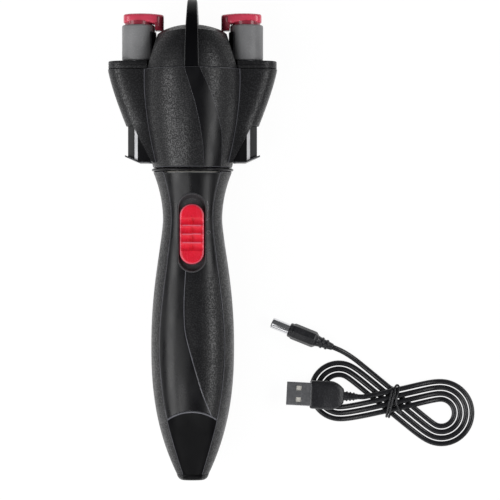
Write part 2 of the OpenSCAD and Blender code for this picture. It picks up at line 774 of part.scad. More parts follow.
rod_r = rod_d / 2;
clip_spindle_r = rod_r + 3;
journal_r = clip_spindle_r - 1;
tube_y = lid_y + lid_t + 0.4;
tube_top_y = tube_y + tube_l;
tube_floor = 2;
hook_outer = 7.2;
hook_inner = 12.4;
hook_leg = 3;
hook_y = tube_top_y + 0.9;
rod_top_y = plate_y + 0.6;

module right_clip_tube() {
    r = tube_d / 2;
    color([0.28, 0.28, 0.3])
        on_axis(tube_y, post_x) rotate_extrude()
            polygon([[clip_spindle_r, 0.6], [r - 0.9, 0.6], [r - 0.9, 0], [r - 0.4, 0],
                [r, 0.5], [r, tube_l - 0.6], [r - 0.6, tube_l], [r - tube_wall, tube_l],
                [r - tube_wall, tube_floor], [clip_spindle_r, tube_floor]]);
}

module right_clip_spindle() {
    h = tube_y + tube_floor + 1 - plate_y - plate_t - 0.1;
    color([0.72, 0.73, 0.75])
        on_axis(plate_y + plate_t + 0.1, post_x) difference() {
            union() {
                cylinder(r = clip_spindle_r, h = h);
                translate([0, 0, -plate_t - 0.1]) cylinder(r = journal_r, h = plate_t + 0.2);
            }
            translate([0, 0, -10]) cylinder(r = rod_r + fit, h = h + 20);
        }
}

module right_clip_gear() {
    color([0.85, 0.83, 0.75])
        on_axis(gear_y, post_x) difference() {
            linear_extrude(gear_w) rotate(180 + 180 / clip_teeth) spur_gear(clip_teeth);
            translate([0, 0, -1]) cylinder(r = clip_spindle_r, h = gear_w + 2);
        }
}

module right_hook() {
    h = hook_t;
    guide_r = tube_d / 2 - tube_wall - fit;
    cap = [for (i = [-6:6]) let (u = i / 6)
        [blend(-hook_inner, hook_outer, (u + 1) / 2), h - 0.55 * pow(u - 0.15, 2) - 0.1]];
    color([0.83, 0.1, 0.17])
        union() {
            intersection() {
                translate([post_x, hook_y, axis_z - hook_depth / 2]) linear_extrude(hook_depth)
                    polygon(concat([[hook_outer, 0.3], [hook_outer - 1, 0], [-hook_inner + hook_leg, 0],
                        [-hook_inner + hook_leg - 0.3, -3.9], [-hook_inner + 0.4, -3.9]], cap));
                on_axis(hook_y - 10, post_x - (hook_inner - hook_outer) / 2)
                    linear_extrude(30) polygon([for (a = [0:15:345])
                        [(hook_inner + hook_outer + 0.6) / 2 * signed_pow(cos(a), 0.6),
                            hook_depth / 2 * signed_pow(sin(a), 0.6)]]);
            }
            on_axis(hook_y - 9, post_x) cylinder(r = guide_r, h = 9 + eps);
            on_axis(rod_top_y + 0.2, post_x) cylinder(r = rod_r, h = hook_y - rod_top_y - 5);
        }
}

// ---- Levers ----

lever_foot_y = foot_y;
lever_wall = 1.1;
lever_depth = pod_depth / 2 - pod_wall - 1.3;

// Outline of the lever seen along the handle, grown by so much sideways and half as much in depth
function lever_plan(grow) =
    let (d = lever_depth + grow / 2,
        half = [[post_x + 5.2 + grow, 2.2 + grow / 2], [post_x + 1.8 + grow, d - 0.9],
            [post_x + 0.1 + grow / 2, d], [post_x - 12, d]])
    concat(half, [for (i = [3:-1:0]) [half[i][0], -half[i][1]]]);

// Space swept by the round head body as the lever slides past it
module bulb_sweep(clearance) {
    levels = steps(bulb_y0 - 1, bulb_wide_y, 14);
    on_axis(0) rotate_extrude() polygon(concat([[0, levels[0]]],
        [for (y = levels) [bulb_r(min(bulb_wide_y, max(bulb_y0, y + hook_lift))) + clearance, y]],
        [[0, bulb_wide_y]]));
}

module right_lever() {
    tip_x = post_x + 6.7;
    heel_x = post_x - 0.7;
    low = lever_foot_y;
    color([0.07, 0.07, 0.08])
        difference() {
            union() {
                intersection() {
                    on_axis(low, 0) linear_extrude(60) polygon(lever_plan(0));
                    linear_extrude(2 * axis_z) polygon([[0, low + 0.8], [heel_x, low + 0.8],
                        [tip_x, low + 4], [tip_x, lever_top_y], [0, lever_top_y]]);
                }
                intersection() {
                    on_axis(low - 1, 0) linear_extrude(60) polygon(lever_plan(1.5));
                    linear_extrude(2 * axis_z) polygon([[0, low], [heel_x, low], [tip_x, low + 3.2],
                        [tip_x, low + 4], [heel_x, low + 0.8], [0, low + 0.8]]);
                }
            }
            on_axis(low + 5) linear_extrude(lever_top_y - 1.5 - low - 5) polygon(lever_plan(-lever_wall));
            bulb_sweep(gap);
        }
}

module right_push_rod() {
    color([0.75, 0.76, 0.78])
        on_axis(lever_top_y, post_x) union() {
            cylinder(r = rod_r - fit, h = rod_top_y - lever_top_y);
            cylinder(r = rod_r + 2, h = 0.8);
        }
}

module right_return_spring() {
    wire = 0.35;
    r = rod_r + 1.1;
    low = lever_top_y + 0.8 + wire + 0.05;
    high = plate_y - wire - 0.05;
    turns = 5;
    n = turns * 8;
    color([0.8, 0.81, 0.83])
        skin([for (i = [0:n]) let (a = 360 * i / 8, y = blend(low, high, i / n))
            [for (k = [0:5]) let (b = 60 * k, q = r + wire * cos(b))
                [post_x + q * cos(a), y + wire * sin(b), axis_z + q * sin(a)]]]);
}

module left_clip_tube() { left_of() right_clip_tube(); }
module left_clip_spindle() { left_of() right_clip_spindle(); }
module left_clip_gear() { left_of() right_clip_gear(); }
module left_hook() { left_of() right_hook(); }
module left_lever() { left_of() right_lever(); }
module left_push_rod() { left_of() right_push_rod(); }
module left_return_spring() { left_of() right_return_spring(); }

// ---- Charging lead ----

lead_r = lead_d / 2;
turns_before_tie = 3.5;
arc_steps = 9;
tie_t = 1.2;
tie_w = 2.4;
barrel_r = 4.2;
barrel_l = 15;
boot_l = 9;
usb_w = 14.4;
usb_l = 17;
usb_t = 7.4;
relief_l = 7;

// The straights cross at the tie, with half of the crossing's length on each side of it
hank_slope = asin(hank_r / hank_c);
cross_half = 11;
low_z = lead_r + tie_t + play;
high_z = low_z + lead_d + 0.5;
plug_z = lead_d + 0.6 + usb_t / 2;

// Place and heading on the middle loop: low straight, right lobe, high straight, left lobe
function belt(part, v) =
    let (s = hank_slope, sweep = 180 + 2 * s,
        h = part == 0 ? -s : part == 1 ? v * sweep - s : part == 2 ? 180 + s : 180 + s - v * sweep)
    part == 1 ? [hank_c + hank_r * sin(h), -hank_r * cos(h), h]
    : part == 3 ? [-hank_c - hank_r * sin(h), hank_r * cos(h), h]
    : [v * cos(h), v * sin(h), h];

lobe_steps = [for (i = [0:arc_steps]) i / arc_steps];
loop_stations = concat([[0, -cross_half], [0, cross_half]], [for (v = lobe_steps) [1, v]],
    [[2, -cross_half], [2, cross_half]], [for (v = lobe_steps) [3, v]]);

// Point i of the loops, which step across from one turn to the next
function hank_point(i) =
    let (n = len(loop_stations), st = loop_stations[i % n], b = belt(st[0], st[1]),
        off = hank_step * (turns_before_tie / 2 - i / n),
        z = st[0] == 0 ? low_z : st[0] == 2 ? high_z : lead_r)
    [b[0] - off * sin(b[2]), b[1] + off * cos(b[2]), z];

// Route in the figure's own frame, from the barrel plug round the loops to the other plug
barrel_heading = 171;
usb_heading = 190;
lead_in = [[-34.8, 20.6, barrel_r], [-31.6, 20.1, 3.8], [-27.6, 19.1, 2.6], [-23.4, 17.5, 1.7],
    [-19.4, 15.7, lead_r]];
lead_out = [[-14.2, -0.5, plug_z - 0.3], [-17, -1, plug_z]];
hank_points = turns_before_tie * len(loop_stations) + 2;
lead_route = concat(lead_in, [for (i = [0:hank_points - 1]) hank_point(i)], lead_out);

function route_length(path, i = 1) =
    i >= len(path) ? 0 : norm(path[i] - path[i - 1]) + route_length(path, i + 1);
function heading(path, i) =
    let (d = path[min(len(path) - 1, i + 1)] - path[max(0, i - 1)]) d / norm(d);
function tube_ring(path, i, r, sides) =
    let (t = heading(path, i), across = cross(t, [0, 0, 1]),
        side = across / norm(across), up = cross(side, t))
    [for (k = [0:sides - 1]) let (a = -360 * (k + 0.5) / sides) path[i] + r * (side * cos(a) + up * sin(a))];

// Least clear distance between stretches of the lead that are not neighbours
function finer(path) =
    [for (i = [0:len(path) - 2]) for (v = [0, 0.25, 0.5, 0.75]) blend(path[i], path[i + 1], v)];
function least_gap(path) =
    let (p = finer(path), skip = 14, last = len(p) - 1)
    min([for (i = [0:last - skip]) min([for (j = [i + skip:last]) norm(p[i] - p[j])])]) - lead_d;

// Stands children on the table in the figure's own frame
module on_table() {
    translate([hank_x, hank_y, 0]) rotate(hank_angle) children();
}

// Stands children at an end of the route, with their Z pointing on along the lead
module at_plug(p, angle) {
    on_table() translate(p) rotate([0, 0, angle]) rotate([0, 90, 0]) children();
}

module charging_lead() {
    echo(lead_length_mm = route_length(lead_route), lead_least_gap_mm = least_gap(lead_route));
    color([0.05, 0.05, 0.055])
        on_table() skin([for (i = [0:len(lead_route) - 1]) tube_ring(lead_route, i, lead_r, 6)]);
}

module lead_tie() {
    bundle = 2 * (hank_step * turns_before_tie / 2 + lead_r) / cos(hank_slope) + tie_w * tan(hank_slope);
    w = bundle + 2 * play;
    h = high_z + lead_r + play - tie_t;
    color([0.04, 0.04, 0.045])
        on_table() translate([-tie_w / 2, 0, 0]) rotate([90, 0, 90]) linear_extrude(tie_w)
            difference() {
                translate([-w / 2 - tie_t, 0]) square([w + 2 * tie_t, h + 2 * tie_t]);
                translate([-w / 2, tie_t]) square([w, h]);
            }
}

module usb_plug_relief() {
    color([0.04, 0.04, 0.045])
        at_plug(lead_out[1], usb_heading) cylinder(r1 = lead_r + 0.5, r2 = lead_r + 1.5, h = relief_l);
}

module usb_plug_grip() {
    w = usb_w / 2;
    t = usb_t / 2;
    color([0.04, 0.04, 0.045])
        at_plug(lead_out[1], usb_heading) translate([0, 0, relief_l]) intersection() {
            rotate([90, 0, 0]) translate([0, 0, -w]) linear_extrude(usb_w)
                polygon([[1.2 - t, 0], [t - 1.2, 0], [t, 3], [t, usb_l - 0.6], [t - 0.6, usb_l],
                    [0.6 - t, usb_l], [-t, usb_l - 0.6], [-t, 3]]);
            rotate([0, 90, 0]) translate([0, 0, -t]) linear_extrude(usb_t)
                polygon([[0, 3.6 - w], [0, w - 3.6], [-2.4, w - 1.5], [-5.6, w], [-usb_l, w],
                    [-usb_l, -w], [-5.6, -w], [-2.4, 1.5 - w]]);
        }
}

usb_shell_w = 12;
usb_shell_t = 4.5;
usb_shell_l = 12;
module usb_plug_shell() {
    w = usb_shell_w;
    t = usb_shell_t;
    wall = 0.35;
    color([0.75, 0.76, 0.78])
        at_plug(lead_out[1], usb_heading) translate([0, 0, relief_l + usb_l]) difference() {
            translate([-t / 2, -w / 2, 0]) cube([t, w, usb_shell_l]);
            translate([wall - t / 2, wall - w / 2, 1]) cube([t / 2 - wall, w - 2 * wall, usb_shell_l]);
        }
}

module barrel_plug_grip() {
    color([0.04, 0.04, 0.045])
        at_plug(lead_in[0], barrel_heading) union() {
            cylinder(r1 = lead_r + 0.4, r2 = barrel_r - 0.9, h = boot_l);
            translate([0, 0, boot_l - eps]) cylinder(r = barrel_r, h = barrel_l);
        }
}

module barrel_plug_tip() {
    color([0.75, 0.76, 0.78])
        at_plug(lead_in[0], barrel_heading) translate([0, 0, boot_l + barrel_l - eps]) difference() {
            cylinder(r = socket_r - fit, h = socket_l + 1.5);
            translate([0, 0, 1]) cylinder(r = 1.05, h = socket_l + 1.5);
        }
}

// ---- What is drawn ----

handle_rear_shell();
handle_front_panel();
tail_scoop();
tail_cap();
collar_ring();
switch_lining();
switch_body();
switch_slider();
neck_bushing();
gearbox();
gearbox_bracket();
motor();
motor_bracket();
battery_cell();
battery_holder();
circuit_board();
charging_socket();
head_front_cover();
head_rear_cover();
left_pod();
right_pod();
left_lid();
right_lid();
top_dome();
separator_fin();
front_band();
rear_band();
neck_spindle();
retaining_ring();
gear_plate();
left_return_spring();
right_return_spring();
drive_shaft();
sun_gear();
left_clip_tube();
right_clip_tube();
left_clip_spindle();
right_clip_spindle();
left_clip_gear();
right_clip_gear();
left_hook();
right_hook();
left_lever();
right_lever();
left_push_rod();
right_push_rod();
charging_lead();
lead_tie();
usb_plug_grip();
usb_plug_shell();
usb_plug_relief();
barrel_plug_grip();
barrel_plug_tip();
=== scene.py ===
"""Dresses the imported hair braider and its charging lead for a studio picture.

Shapes are worked out in millimetres, with the same formulas as the part's own source, and become
metres when a mesh is made. X points right, Y along the handle to the head, and Z out of the
switch side.
"""
import json

import bmesh
import bpy
import numpy as np
from bpy.props import FloatProperty, FloatVectorProperty, PointerProperty
from mathutils import Matrix

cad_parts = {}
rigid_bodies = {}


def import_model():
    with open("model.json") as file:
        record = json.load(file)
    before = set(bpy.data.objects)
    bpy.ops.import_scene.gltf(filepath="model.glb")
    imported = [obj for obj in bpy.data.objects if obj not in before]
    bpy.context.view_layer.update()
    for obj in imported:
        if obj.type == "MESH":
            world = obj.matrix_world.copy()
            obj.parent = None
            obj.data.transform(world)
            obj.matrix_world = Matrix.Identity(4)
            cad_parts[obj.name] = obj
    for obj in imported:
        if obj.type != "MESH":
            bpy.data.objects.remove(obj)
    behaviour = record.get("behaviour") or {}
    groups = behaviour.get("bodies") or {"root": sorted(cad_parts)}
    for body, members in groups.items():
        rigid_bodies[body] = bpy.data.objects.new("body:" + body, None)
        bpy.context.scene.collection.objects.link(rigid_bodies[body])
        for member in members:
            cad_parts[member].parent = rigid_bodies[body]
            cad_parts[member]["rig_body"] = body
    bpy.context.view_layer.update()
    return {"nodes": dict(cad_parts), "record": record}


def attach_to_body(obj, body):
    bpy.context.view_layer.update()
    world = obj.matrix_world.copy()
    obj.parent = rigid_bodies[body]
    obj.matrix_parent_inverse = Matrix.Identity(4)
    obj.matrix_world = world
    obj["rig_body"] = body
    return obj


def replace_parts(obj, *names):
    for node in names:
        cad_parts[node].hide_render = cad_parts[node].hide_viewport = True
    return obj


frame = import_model()
SLOTS = {part["node"]: part["material_slot"] for part in frame["record"]["subparts"]}

bl_info = {
    "name": "Hair Braider",
    "version": (1, 0, 0),
    "blender": (4, 5, 0),
    "location": "3D View > Sidebar > Braider",
    "description": "Builds the visible pieces of a hair braider on its packed frame",
    "category": "Object",
}

MM = 0.001

# ---- Numbers and outlines ----


def blend(a, b, t):
    """Straight mix from a to b."""
    return a + (b - a) * t


def share(v, lo, hi):
    """How far v has come from lo to hi, kept between 0 and 1."""
    return np.clip((v - lo) / (hi - lo), 0, 1)


def ease(t):
    """Half a cosine wave from 0 to 1."""
    return (1 - np.cos(np.pi * t)) / 2


def signed_pow(v, p):
    """Power of the size of v, with the sign of v."""
    return np.sign(v) * np.abs(v) ** p


def columns(*values):
    """Arrays of one shape, stacked into points."""
    return np.stack(np.broadcast_arrays(*values), axis=-1).astype(float)


def rounded(points, radius, closed=False, steps=4):
    """Polyline whose corners are turned: each corner is a quadratic curve that starts and ends
    one radius before and after it, or at 45% of a side that is too short for that."""
    p = np.asarray(points, float)
    before, after = np.roll(p, 1, axis=0) - p, np.roll(p, -1, axis=0) - p
    size_b = np.linalg.norm(before, axis=1, keepdims=True)
    size_a = np.linalg.norm(after, axis=1, keepdims=True)
    start = p + before / size_b * np.minimum(radius, 0.45 * size_b)
    end = p + after / size_a * np.minimum(radius, 0.45 * size_a)
    u = np.linspace(0, 1, steps + 1)[None, :, None]
    arcs = (1 - u) ** 2 * start[:, None] + 2 * u * (1 - u) * p[:, None] + u ** 2 * end[:, None]
    if closed:
        return arcs.reshape(-1, p.shape[1])
    return np.concatenate([p[:1], arcs[1:-1].reshape(-1, p.shape[1]), p[-1:]])


def spread(points, count, closed=False):
    """Points at even distances along a polyline."""
    p = np.concatenate([points, points[:1]]) if closed else np.asarray(points, float)
    run = np.concatenate([[0], np.cumsum(np.linalg.norm(np.diff(p, axis=0), axis=1))])
    at = np.linspace(0, run[-1], count + 1)[:-1] if closed else np.linspace(0, run[-1], count)
    return np.stack([np.interp(at, run, p[:, k]) for k in range(p.shape[1])], axis=1)


def smooth_path(points, between):
    """Smooth curve along points: the uniform cubic B-spline, which cuts corners a little and
    starts and ends on the first and the last point."""
    p = np.asarray(points, float)
    p = np.concatenate([2 * p[:1] - p[1:2], p, 2 * p[-1:] - p[-2:-1]])
    u = (np.arange(between) / between)[None, :, None]
    a, b, c, d = p[:-3, None], p[1:-2, None], p[2:-1, None], p[3:, None]
    curve = ((1 - u) ** 3 * a + (3 * u ** 3 - 6 * u ** 2 + 4) * b
             + (-3 * u ** 3 + 3 * u ** 2 + 3 * u + 1) * c + u ** 3 * d) / 6
    return np.concatenate([curve.reshape(-1, 3), p[-2:-1]])


# ---- Surfaces: each gives its points and its faces ----


def quads(rows, cols, wrap=False, loop=False):
    """Faces of a grid. Wrap joins the last column to the first, loop the last row to the first."""
    r = np.arange(rows if loop else rows - 1)[:, None]
    c = np.arange(cols if wrap else cols - 1)[None, :]
    r2, c2 = (r + 1) % rows, (c + 1) % cols
    faces = columns(r * cols + c, r * cols + c2, r2 * cols + c2, r2 * cols + c)
    return faces.astype(int).reshape(-1, 4)


def slab(outer, inner):
    """Closed wall between two grids of the same size, joined along their four borders."""
    rows, cols = outer.shape[:2]
    n = rows * cols
    number = np.arange(n).reshape(rows, cols)
    border = np.concatenate([number[0, :-1], number[:-1, -1], number[-1, :0:-1], number[:0:-1, 0]])
    after = np.roll(border, -1)
    grid = quads(rows, cols)
    faces = [grid, grid[:, ::-1] + n, columns(border, border + n, after + n, after).astype(int)]
    points = np.concatenate([outer.reshape(-1, 3), inner.reshape(-1, 3)])
    return points, np.concatenate(faces).tolist()


def skin(rings, loop=False):
    """Skin over closed rings, with its ends closed flat, or joined to each other."""
    rows, cols = rings.shape[:2]
    faces = quads(rows, cols, wrap=True, loop=loop).tolist()
    if not loop:
        faces += [list(range(cols))[::-1], list(range((rows - 1) * cols, rows * cols))]
    return rings.reshape(-1, 3), faces


def lathe(profile, x=0.0, sides=96, loop=False):
    """Profile of radius and height, turned round a line that runs along Y at the axis's height."""
    turn = np.linspace(0, 2 * np.pi, sides, endpoint=False)[None, :]
    r, y = np.asarray(profile, float).T[:, :, None]
    return skin(columns(x + r * np.cos(turn), y, AXIS_Z + r * np.sin(turn)), loop)


def outward(outline):
    """Outward normals of a closed outline that runs anticlockwise."""
    step = np.roll(outline, -1, axis=0) - np.roll(outline, 1, axis=0)
    normal = np.stack([step[:, 1], -step[:, 0]], axis=1)
    return normal / np.linalg.norm(normal, axis=1, keepdims=True)


def tube(path, radius, sides=16):
    """Round tube: a circle carried along a path, held upright, with closed ends."""
    t = np.gradient(path, axis=0)
    t /= np.linalg.norm(t, axis=1, keepdims=True)
    side = np.cross(t, [0.0, 0.0, 1.0])
    side /= np.linalg.norm(side, axis=1, keepdims=True)
    up = np.cross(side, t)
    a = np.linspace(0, 2 * np.pi, sides, endpoint=False)[None, :, None]
    return skin(path[:, None] + radius * (side[:, None] * np.cos(a) + up[:, None] * np.sin(a)))


def mirrored(part):
    """The same surface on the left side."""
    return part[0] * [-1, 1, 1], part[1]


SIDES = {"right": lambda part: part, "left": mirrored}


# ---- Pieces ----


def make_piece(name, parts, sharp=35.0, closed=True):
    """Mesh object at the origin, from surfaces in millimetres. Doubled points are merged and
    faces turned outwards, and edges sharper than the given angle stay crisp."""
    points, faces, start = [], [], 0
    for p, f in parts:
        points.append(p)
        faces += [[start + k for k in face] for face in f]
        start += len(p)
    mesh = bpy.data.meshes.new(name)
    mesh.from_pydata((np.concatenate(points) * MM).tolist(), [], faces)
    tidy(mesh, closed)
    mesh.shade_smooth()
    mesh.set_sharp_from_angle(angle=np.radians(sharp))
    obj = bpy.data.objects.new(name, mesh)
    bpy.context.scene.collection.objects.link(obj)
    return obj


def tidy(mesh, closed=True):
    """Merges doubled points and turns the faces of closed shells outwards."""
    work = bmesh.new()
    work.from_mesh(mesh)
    bmesh.ops.remove_doubles(work, verts=work.verts, dist=1e-7)
    bmesh.ops.dissolve_degenerate(work, edges=work.edges, dist=1e-8)
    if closed:
        bmesh.ops.recalc_face_normals(work, faces=work.faces)
    work.to_mesh(mesh)
    work.free()


def apply_all(obj):
    """Turns a piece with its modifiers into a plain mesh."""
    graph = bpy.context.evaluated_depsgraph_get()
    mesh = bpy.data.meshes.new_from_object(obj.evaluated_get(graph))
    old = obj.data
    obj.modifiers.clear()
    obj.data = mesh
    bpy.data.meshes.remove(old)


def combine(obj, parts, operation="DIFFERENCE", sharp=35.0):
    """Cuts closed surfaces out of a piece, or welds them to it."""
    for part in parts:
        other = make_piece("cutter", [part])
        change = obj.modifiers.new("cut", "BOOLEAN")
        change.operation, change.solver, change.object = operation, "EXACT", other
        apply_all(obj)
        bpy.data.meshes.remove(other.data)
    obj.data.shade_smooth()
    obj.data.set_sharp_from_angle(angle=np.radians(sharp))


def soften(obj, width, angle=40.0, rim="rim"):
    """Small round along every edge that is sharper than the given angle. Given a rim finish, the
    round takes its light grey: a painted highlight along the edge.
    """
    edge = obj.modifiers.new("round", "BEVEL")
    if rim:
        obj.data.materials.clear()
        for _ in range(2):
            obj.data.materials.append(finish(rim))
        edge.material = 1
    edge.width, edge.segments = width * MM, 2
    edge.limit_method, edge.angle_limit = "ANGLE", np.radians(angle)
    edge.harden_normals = True


def mark(obj, test, name):
    """Gives another finish to the faces whose centres pass a test on x, y and z."""
    faces, materials = obj.data.polygons, obj.data.materials
    centres, index = np.zeros(len(faces) * 3), np.zeros(len(faces), dtype=np.int32)
    faces.foreach_get("center", centres)
    faces.foreach_get("material_index", index)
    if not materials:
        materials.append(finish(name))
    materials.append(finish(name))
    index[test(*(centres.reshape(-1, 3) / MM).T).astype(bool)] = len(materials) - 1
    faces.foreach_set("material_index", index)
    obj.data.update()


def attach(obj, name, node):
    """Gives a piece its finish, and the body of a node."""
    if obj.data.materials:
        obj.data.materials[0] = finish(name)
    else:
        obj.data.materials.append(finish(name))
    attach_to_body(obj, frame["nodes"][node]["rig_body"])
    return obj


def settle(obj, name, node):
    """Hands a piece to the frame in place of a node, with its finish."""
    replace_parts(attach(obj, name, node), node)
    return obj


# ---- Finishes ----


class Wire:
    """An output of a finish's nodes. Sums and products of wires and numbers add Math nodes."""

    def __init__(self, paint, socket):
        self.paint, self.socket = paint, socket

    def maths(self, operation, *values):
        return self.paint.node("ShaderNodeMath", {"operation": operation}, dict(enumerate(values)))

    def __add__(self, other):
        return self.maths("ADD", self, other)

    def __radd__(self, other):
        return self.maths("ADD", other, self)

    def __sub__(self, other):
        return self.maths("SUBTRACT", self, other)

    def __rsub__(self, other):
        return self.maths("SUBTRACT", other, self)

    def __mul__(self, other):
        return self.maths("MULTIPLY", self, other)

    def __rmul__(self, other):
        return self.maths("MULTIPLY", other, self)

    def step(self, lo, hi):
        """Soft step from 0 to 1 as the value goes from lo to hi."""
        return self.paint.node("ShaderNodeMapRange", {"interpolation_type": "SMOOTHSTEP"},
                               {"Value": self, "From Min": lo, "From Max": hi})


class Paint:
    """A material in the making."""

    def __init__(self, name):
        self.material = bpy.data.materials.new(name)
        self.material.use_nodes = True
        self.tree = self.material.node_tree
        self.tree.nodes.clear()

    def node(self, kind, settings=None, inputs=None, output=0):
        made = self.tree.nodes.new(kind)
        for key, value in (settings or {}).items():
            setattr(made, key, value)
        for key, value in (inputs or {}).items():
            if isinstance(value, Wire):
                self.tree.links.new(value.socket, made.inputs[key])
            else:
                made.inputs[key].default_value = value
        return Wire(self, made.outputs[output]) if made.outputs else None

    def place(self, stretch=(1, 1, 1)):
        """The piece's own coordinates, stretched."""
        own = self.node("ShaderNodeTexCoord", output="Object")
        return self.node("ShaderNodeMapping", {}, {"Vector": own, "Scale": stretch})

    def noise(self, size, detail=2.0, where=None):
        """Clouds whose lumps are about so many millimetres across."""
        return self.node("ShaderNodeTexNoise", {}, {
            "Vector": where or self.place(), "Scale": 1 / (size * MM), "Detail": detail})

    def mix(self, factor, a, b):
        """Colour that goes from a to b."""
        return self.node("ShaderNodeMix", {"data_type": "RGBA"}, {0: factor, 6: a, 7: b}, output=2)

    def bump(self, height, depth, strength=1.0, under=None):
        """Normal of a relief of so many millimetres."""
        inputs = {"Height": height, "Distance": depth * MM, "Strength": strength}
        if under:
            inputs["Normal"] = under
        return self.node("ShaderNodeBump", {}, inputs)

    def shade(self, **inputs):
        """Closes the finish with a surface whose sockets get these values."""
        names = {key.replace("_", " "): value for key, value in inputs.items()}
        surface = self.node("ShaderNodeBsdfPrincipled", {}, names)
        self.node("ShaderNodeOutputMaterial", {}, {"Surface": surface})
        return self.material


def tone(colour, factor):
    """Colour made lighter or darker, with its alpha."""
    return tuple(min(1.0, c * factor) for c in tuple(colour)[:3]) + (1.0,)


GRAIN_SIZE = 0.8


def moulded(name, colour, rough, grain=0.0, level=0.5, coat=0.0, field=None):
    """Moulded plastic: slow clouds in its colour, smudges in its gloss, and an even grain of cells
    and noise where the mould was etched, or only where the named attribute is 1. The grain's depth
    is a share of the set one, and the coat's weight shows its tops as polished by use."""
    paint = Paint(name)
    clouds = paint.noise(14, 3)
    smudge = paint.noise(5, 4, paint.place((1, 0.35, 1)))
    specks = paint.noise(GRAIN_SIZE * 0.8, 2)
    base = paint.mix(clouds.step(0.3, 0.7), tone(colour, 0.86), tone(colour, 1.12))
    base = paint.mix(specks.step(0.52, 0.66) * (0.5 if grain else 0.1), base, tone(colour, 2.5))
    normal = paint.bump(paint.noise(9, 2), 0.03, 0.35)
    polish, rough_wire = coat, rough + (smudge.step(0.35, 0.75) - 0.4) * min(0.14, rough * 0.5)
    if grain:
        cells = paint.node("ShaderNodeTexVoronoi", {"feature": "SMOOTH_F1"}, {
            "Vector": paint.place(), "Scale": 1 / (GRAIN_SIZE * MM), "Smoothness": 0.3})
        relief = cells * 0.6 + specks * 1.4
        polish = specks.step(0.44, 0.62) * coat
        if field:
            etched = paint.node("ShaderNodeAttribute", {"attribute_name": field}, output=2)
            relief, polish = relief * etched, polish * etched
            rough_wire = rough_wire + etched * 0.12
        depth = grain * bpy.context.scene.braider_shape.grain / MM
        normal = paint.bump(relief, depth, 1.0, normal)
    return paint.shade(Base_Color=base, Roughness=rough_wire, Specular_IOR_Level=level,
                       Coat_Weight=polish, Coat_Roughness=0.3 if grain else 0.1, Normal=normal)


def turned_metal(name, colour, rough, stretch=(1, 12, 1)):
    """Metal with fine tool marks round its axis and slow changes of brightness."""
    paint = Paint(name)
    marks = paint.noise(1.2, 3, paint.place(stretch))
    clouds = paint.noise(6, 2)
    base = paint.mix(clouds.step(0.3, 0.7), tone(colour, 0.9), tone(colour, 1.06))
    return paint.shade(Base_Color=base, Metallic=1.0, Roughness=rough + (marks - 0.5) * 0.18,
                       Normal=paint.bump(marks, 0.02, 0.4))


# ---- Settings ----


def measure(name, description, default, low, high, unit="LENGTH"):
    """Property for a length in metres or a power in watts."""
    return FloatProperty(name=name, description=description, default=default, min=low, max=high,
                         subtype="POWER" if unit == "POWER" else "DISTANCE", unit=unit)


def colour_choice(name, description, default):
    """Property for a colour that a user may change."""
    return FloatVectorProperty(name=name, description=description, default=default,
                               size=3, min=0.0, max=1.0, subtype="COLOR")


class BraiderStudio(bpy.types.PropertyGroup):
    """Camera and light of the picture."""
    distance: measure("Camera distance", "Height of the camera above the long axis",
                      1.35, 0.5, 4.0)
    field: measure("Field", "Width that the picture shows at the long axis", 0.25, 0.1, 1.0)
    side_light: measure("Side light", "Power of the soft boxes at the sides",
                        8.5, 0.0, 100.0, "POWER")
    end_light: measure("End light", "Power of the soft box beyond the tail",
                       2.5, 0.0, 100.0, "POWER")


class BraiderColours(bpy.types.PropertyGroup):
    """Colours of the visible pieces."""
    shell: colour_choice("Shell", "Etched black of the shells", (0.009, 0.009, 0.0102))
    gloss: colour_choice("Gloss", "Polished black of the front panel and band",
                         (0.005, 0.005, 0.006))
    clip: colour_choice("Clip", "Dark grey of the clip tubes", (0.24, 0.24, 0.245))
    hook: colour_choice("Hook", "Red of the hooks", (0.82, 0.07, 0.13))
    switch: colour_choice("Switch", "Red of the slider", (0.86, 0.012, 0.035))
    lead: colour_choice("Lead", "Black of the charging lead", (0.012, 0.012, 0.014))


class BraiderShape(bpy.types.PropertyGroup):
    """Small sizes that only the picture has."""
    edge: measure("Edge", "Round along the edges of the shells", 0.0003, 0.00005, 0.0005)
    sweep_step: measure("Sweep step", "Drop of the dotted field beside the swept line",
                        0.00022, 0.0, 0.0005)
    grain: measure("Grain", "Depth of the etched grain", 0.00007, 0.0, 0.0002)


FINISHES = {}


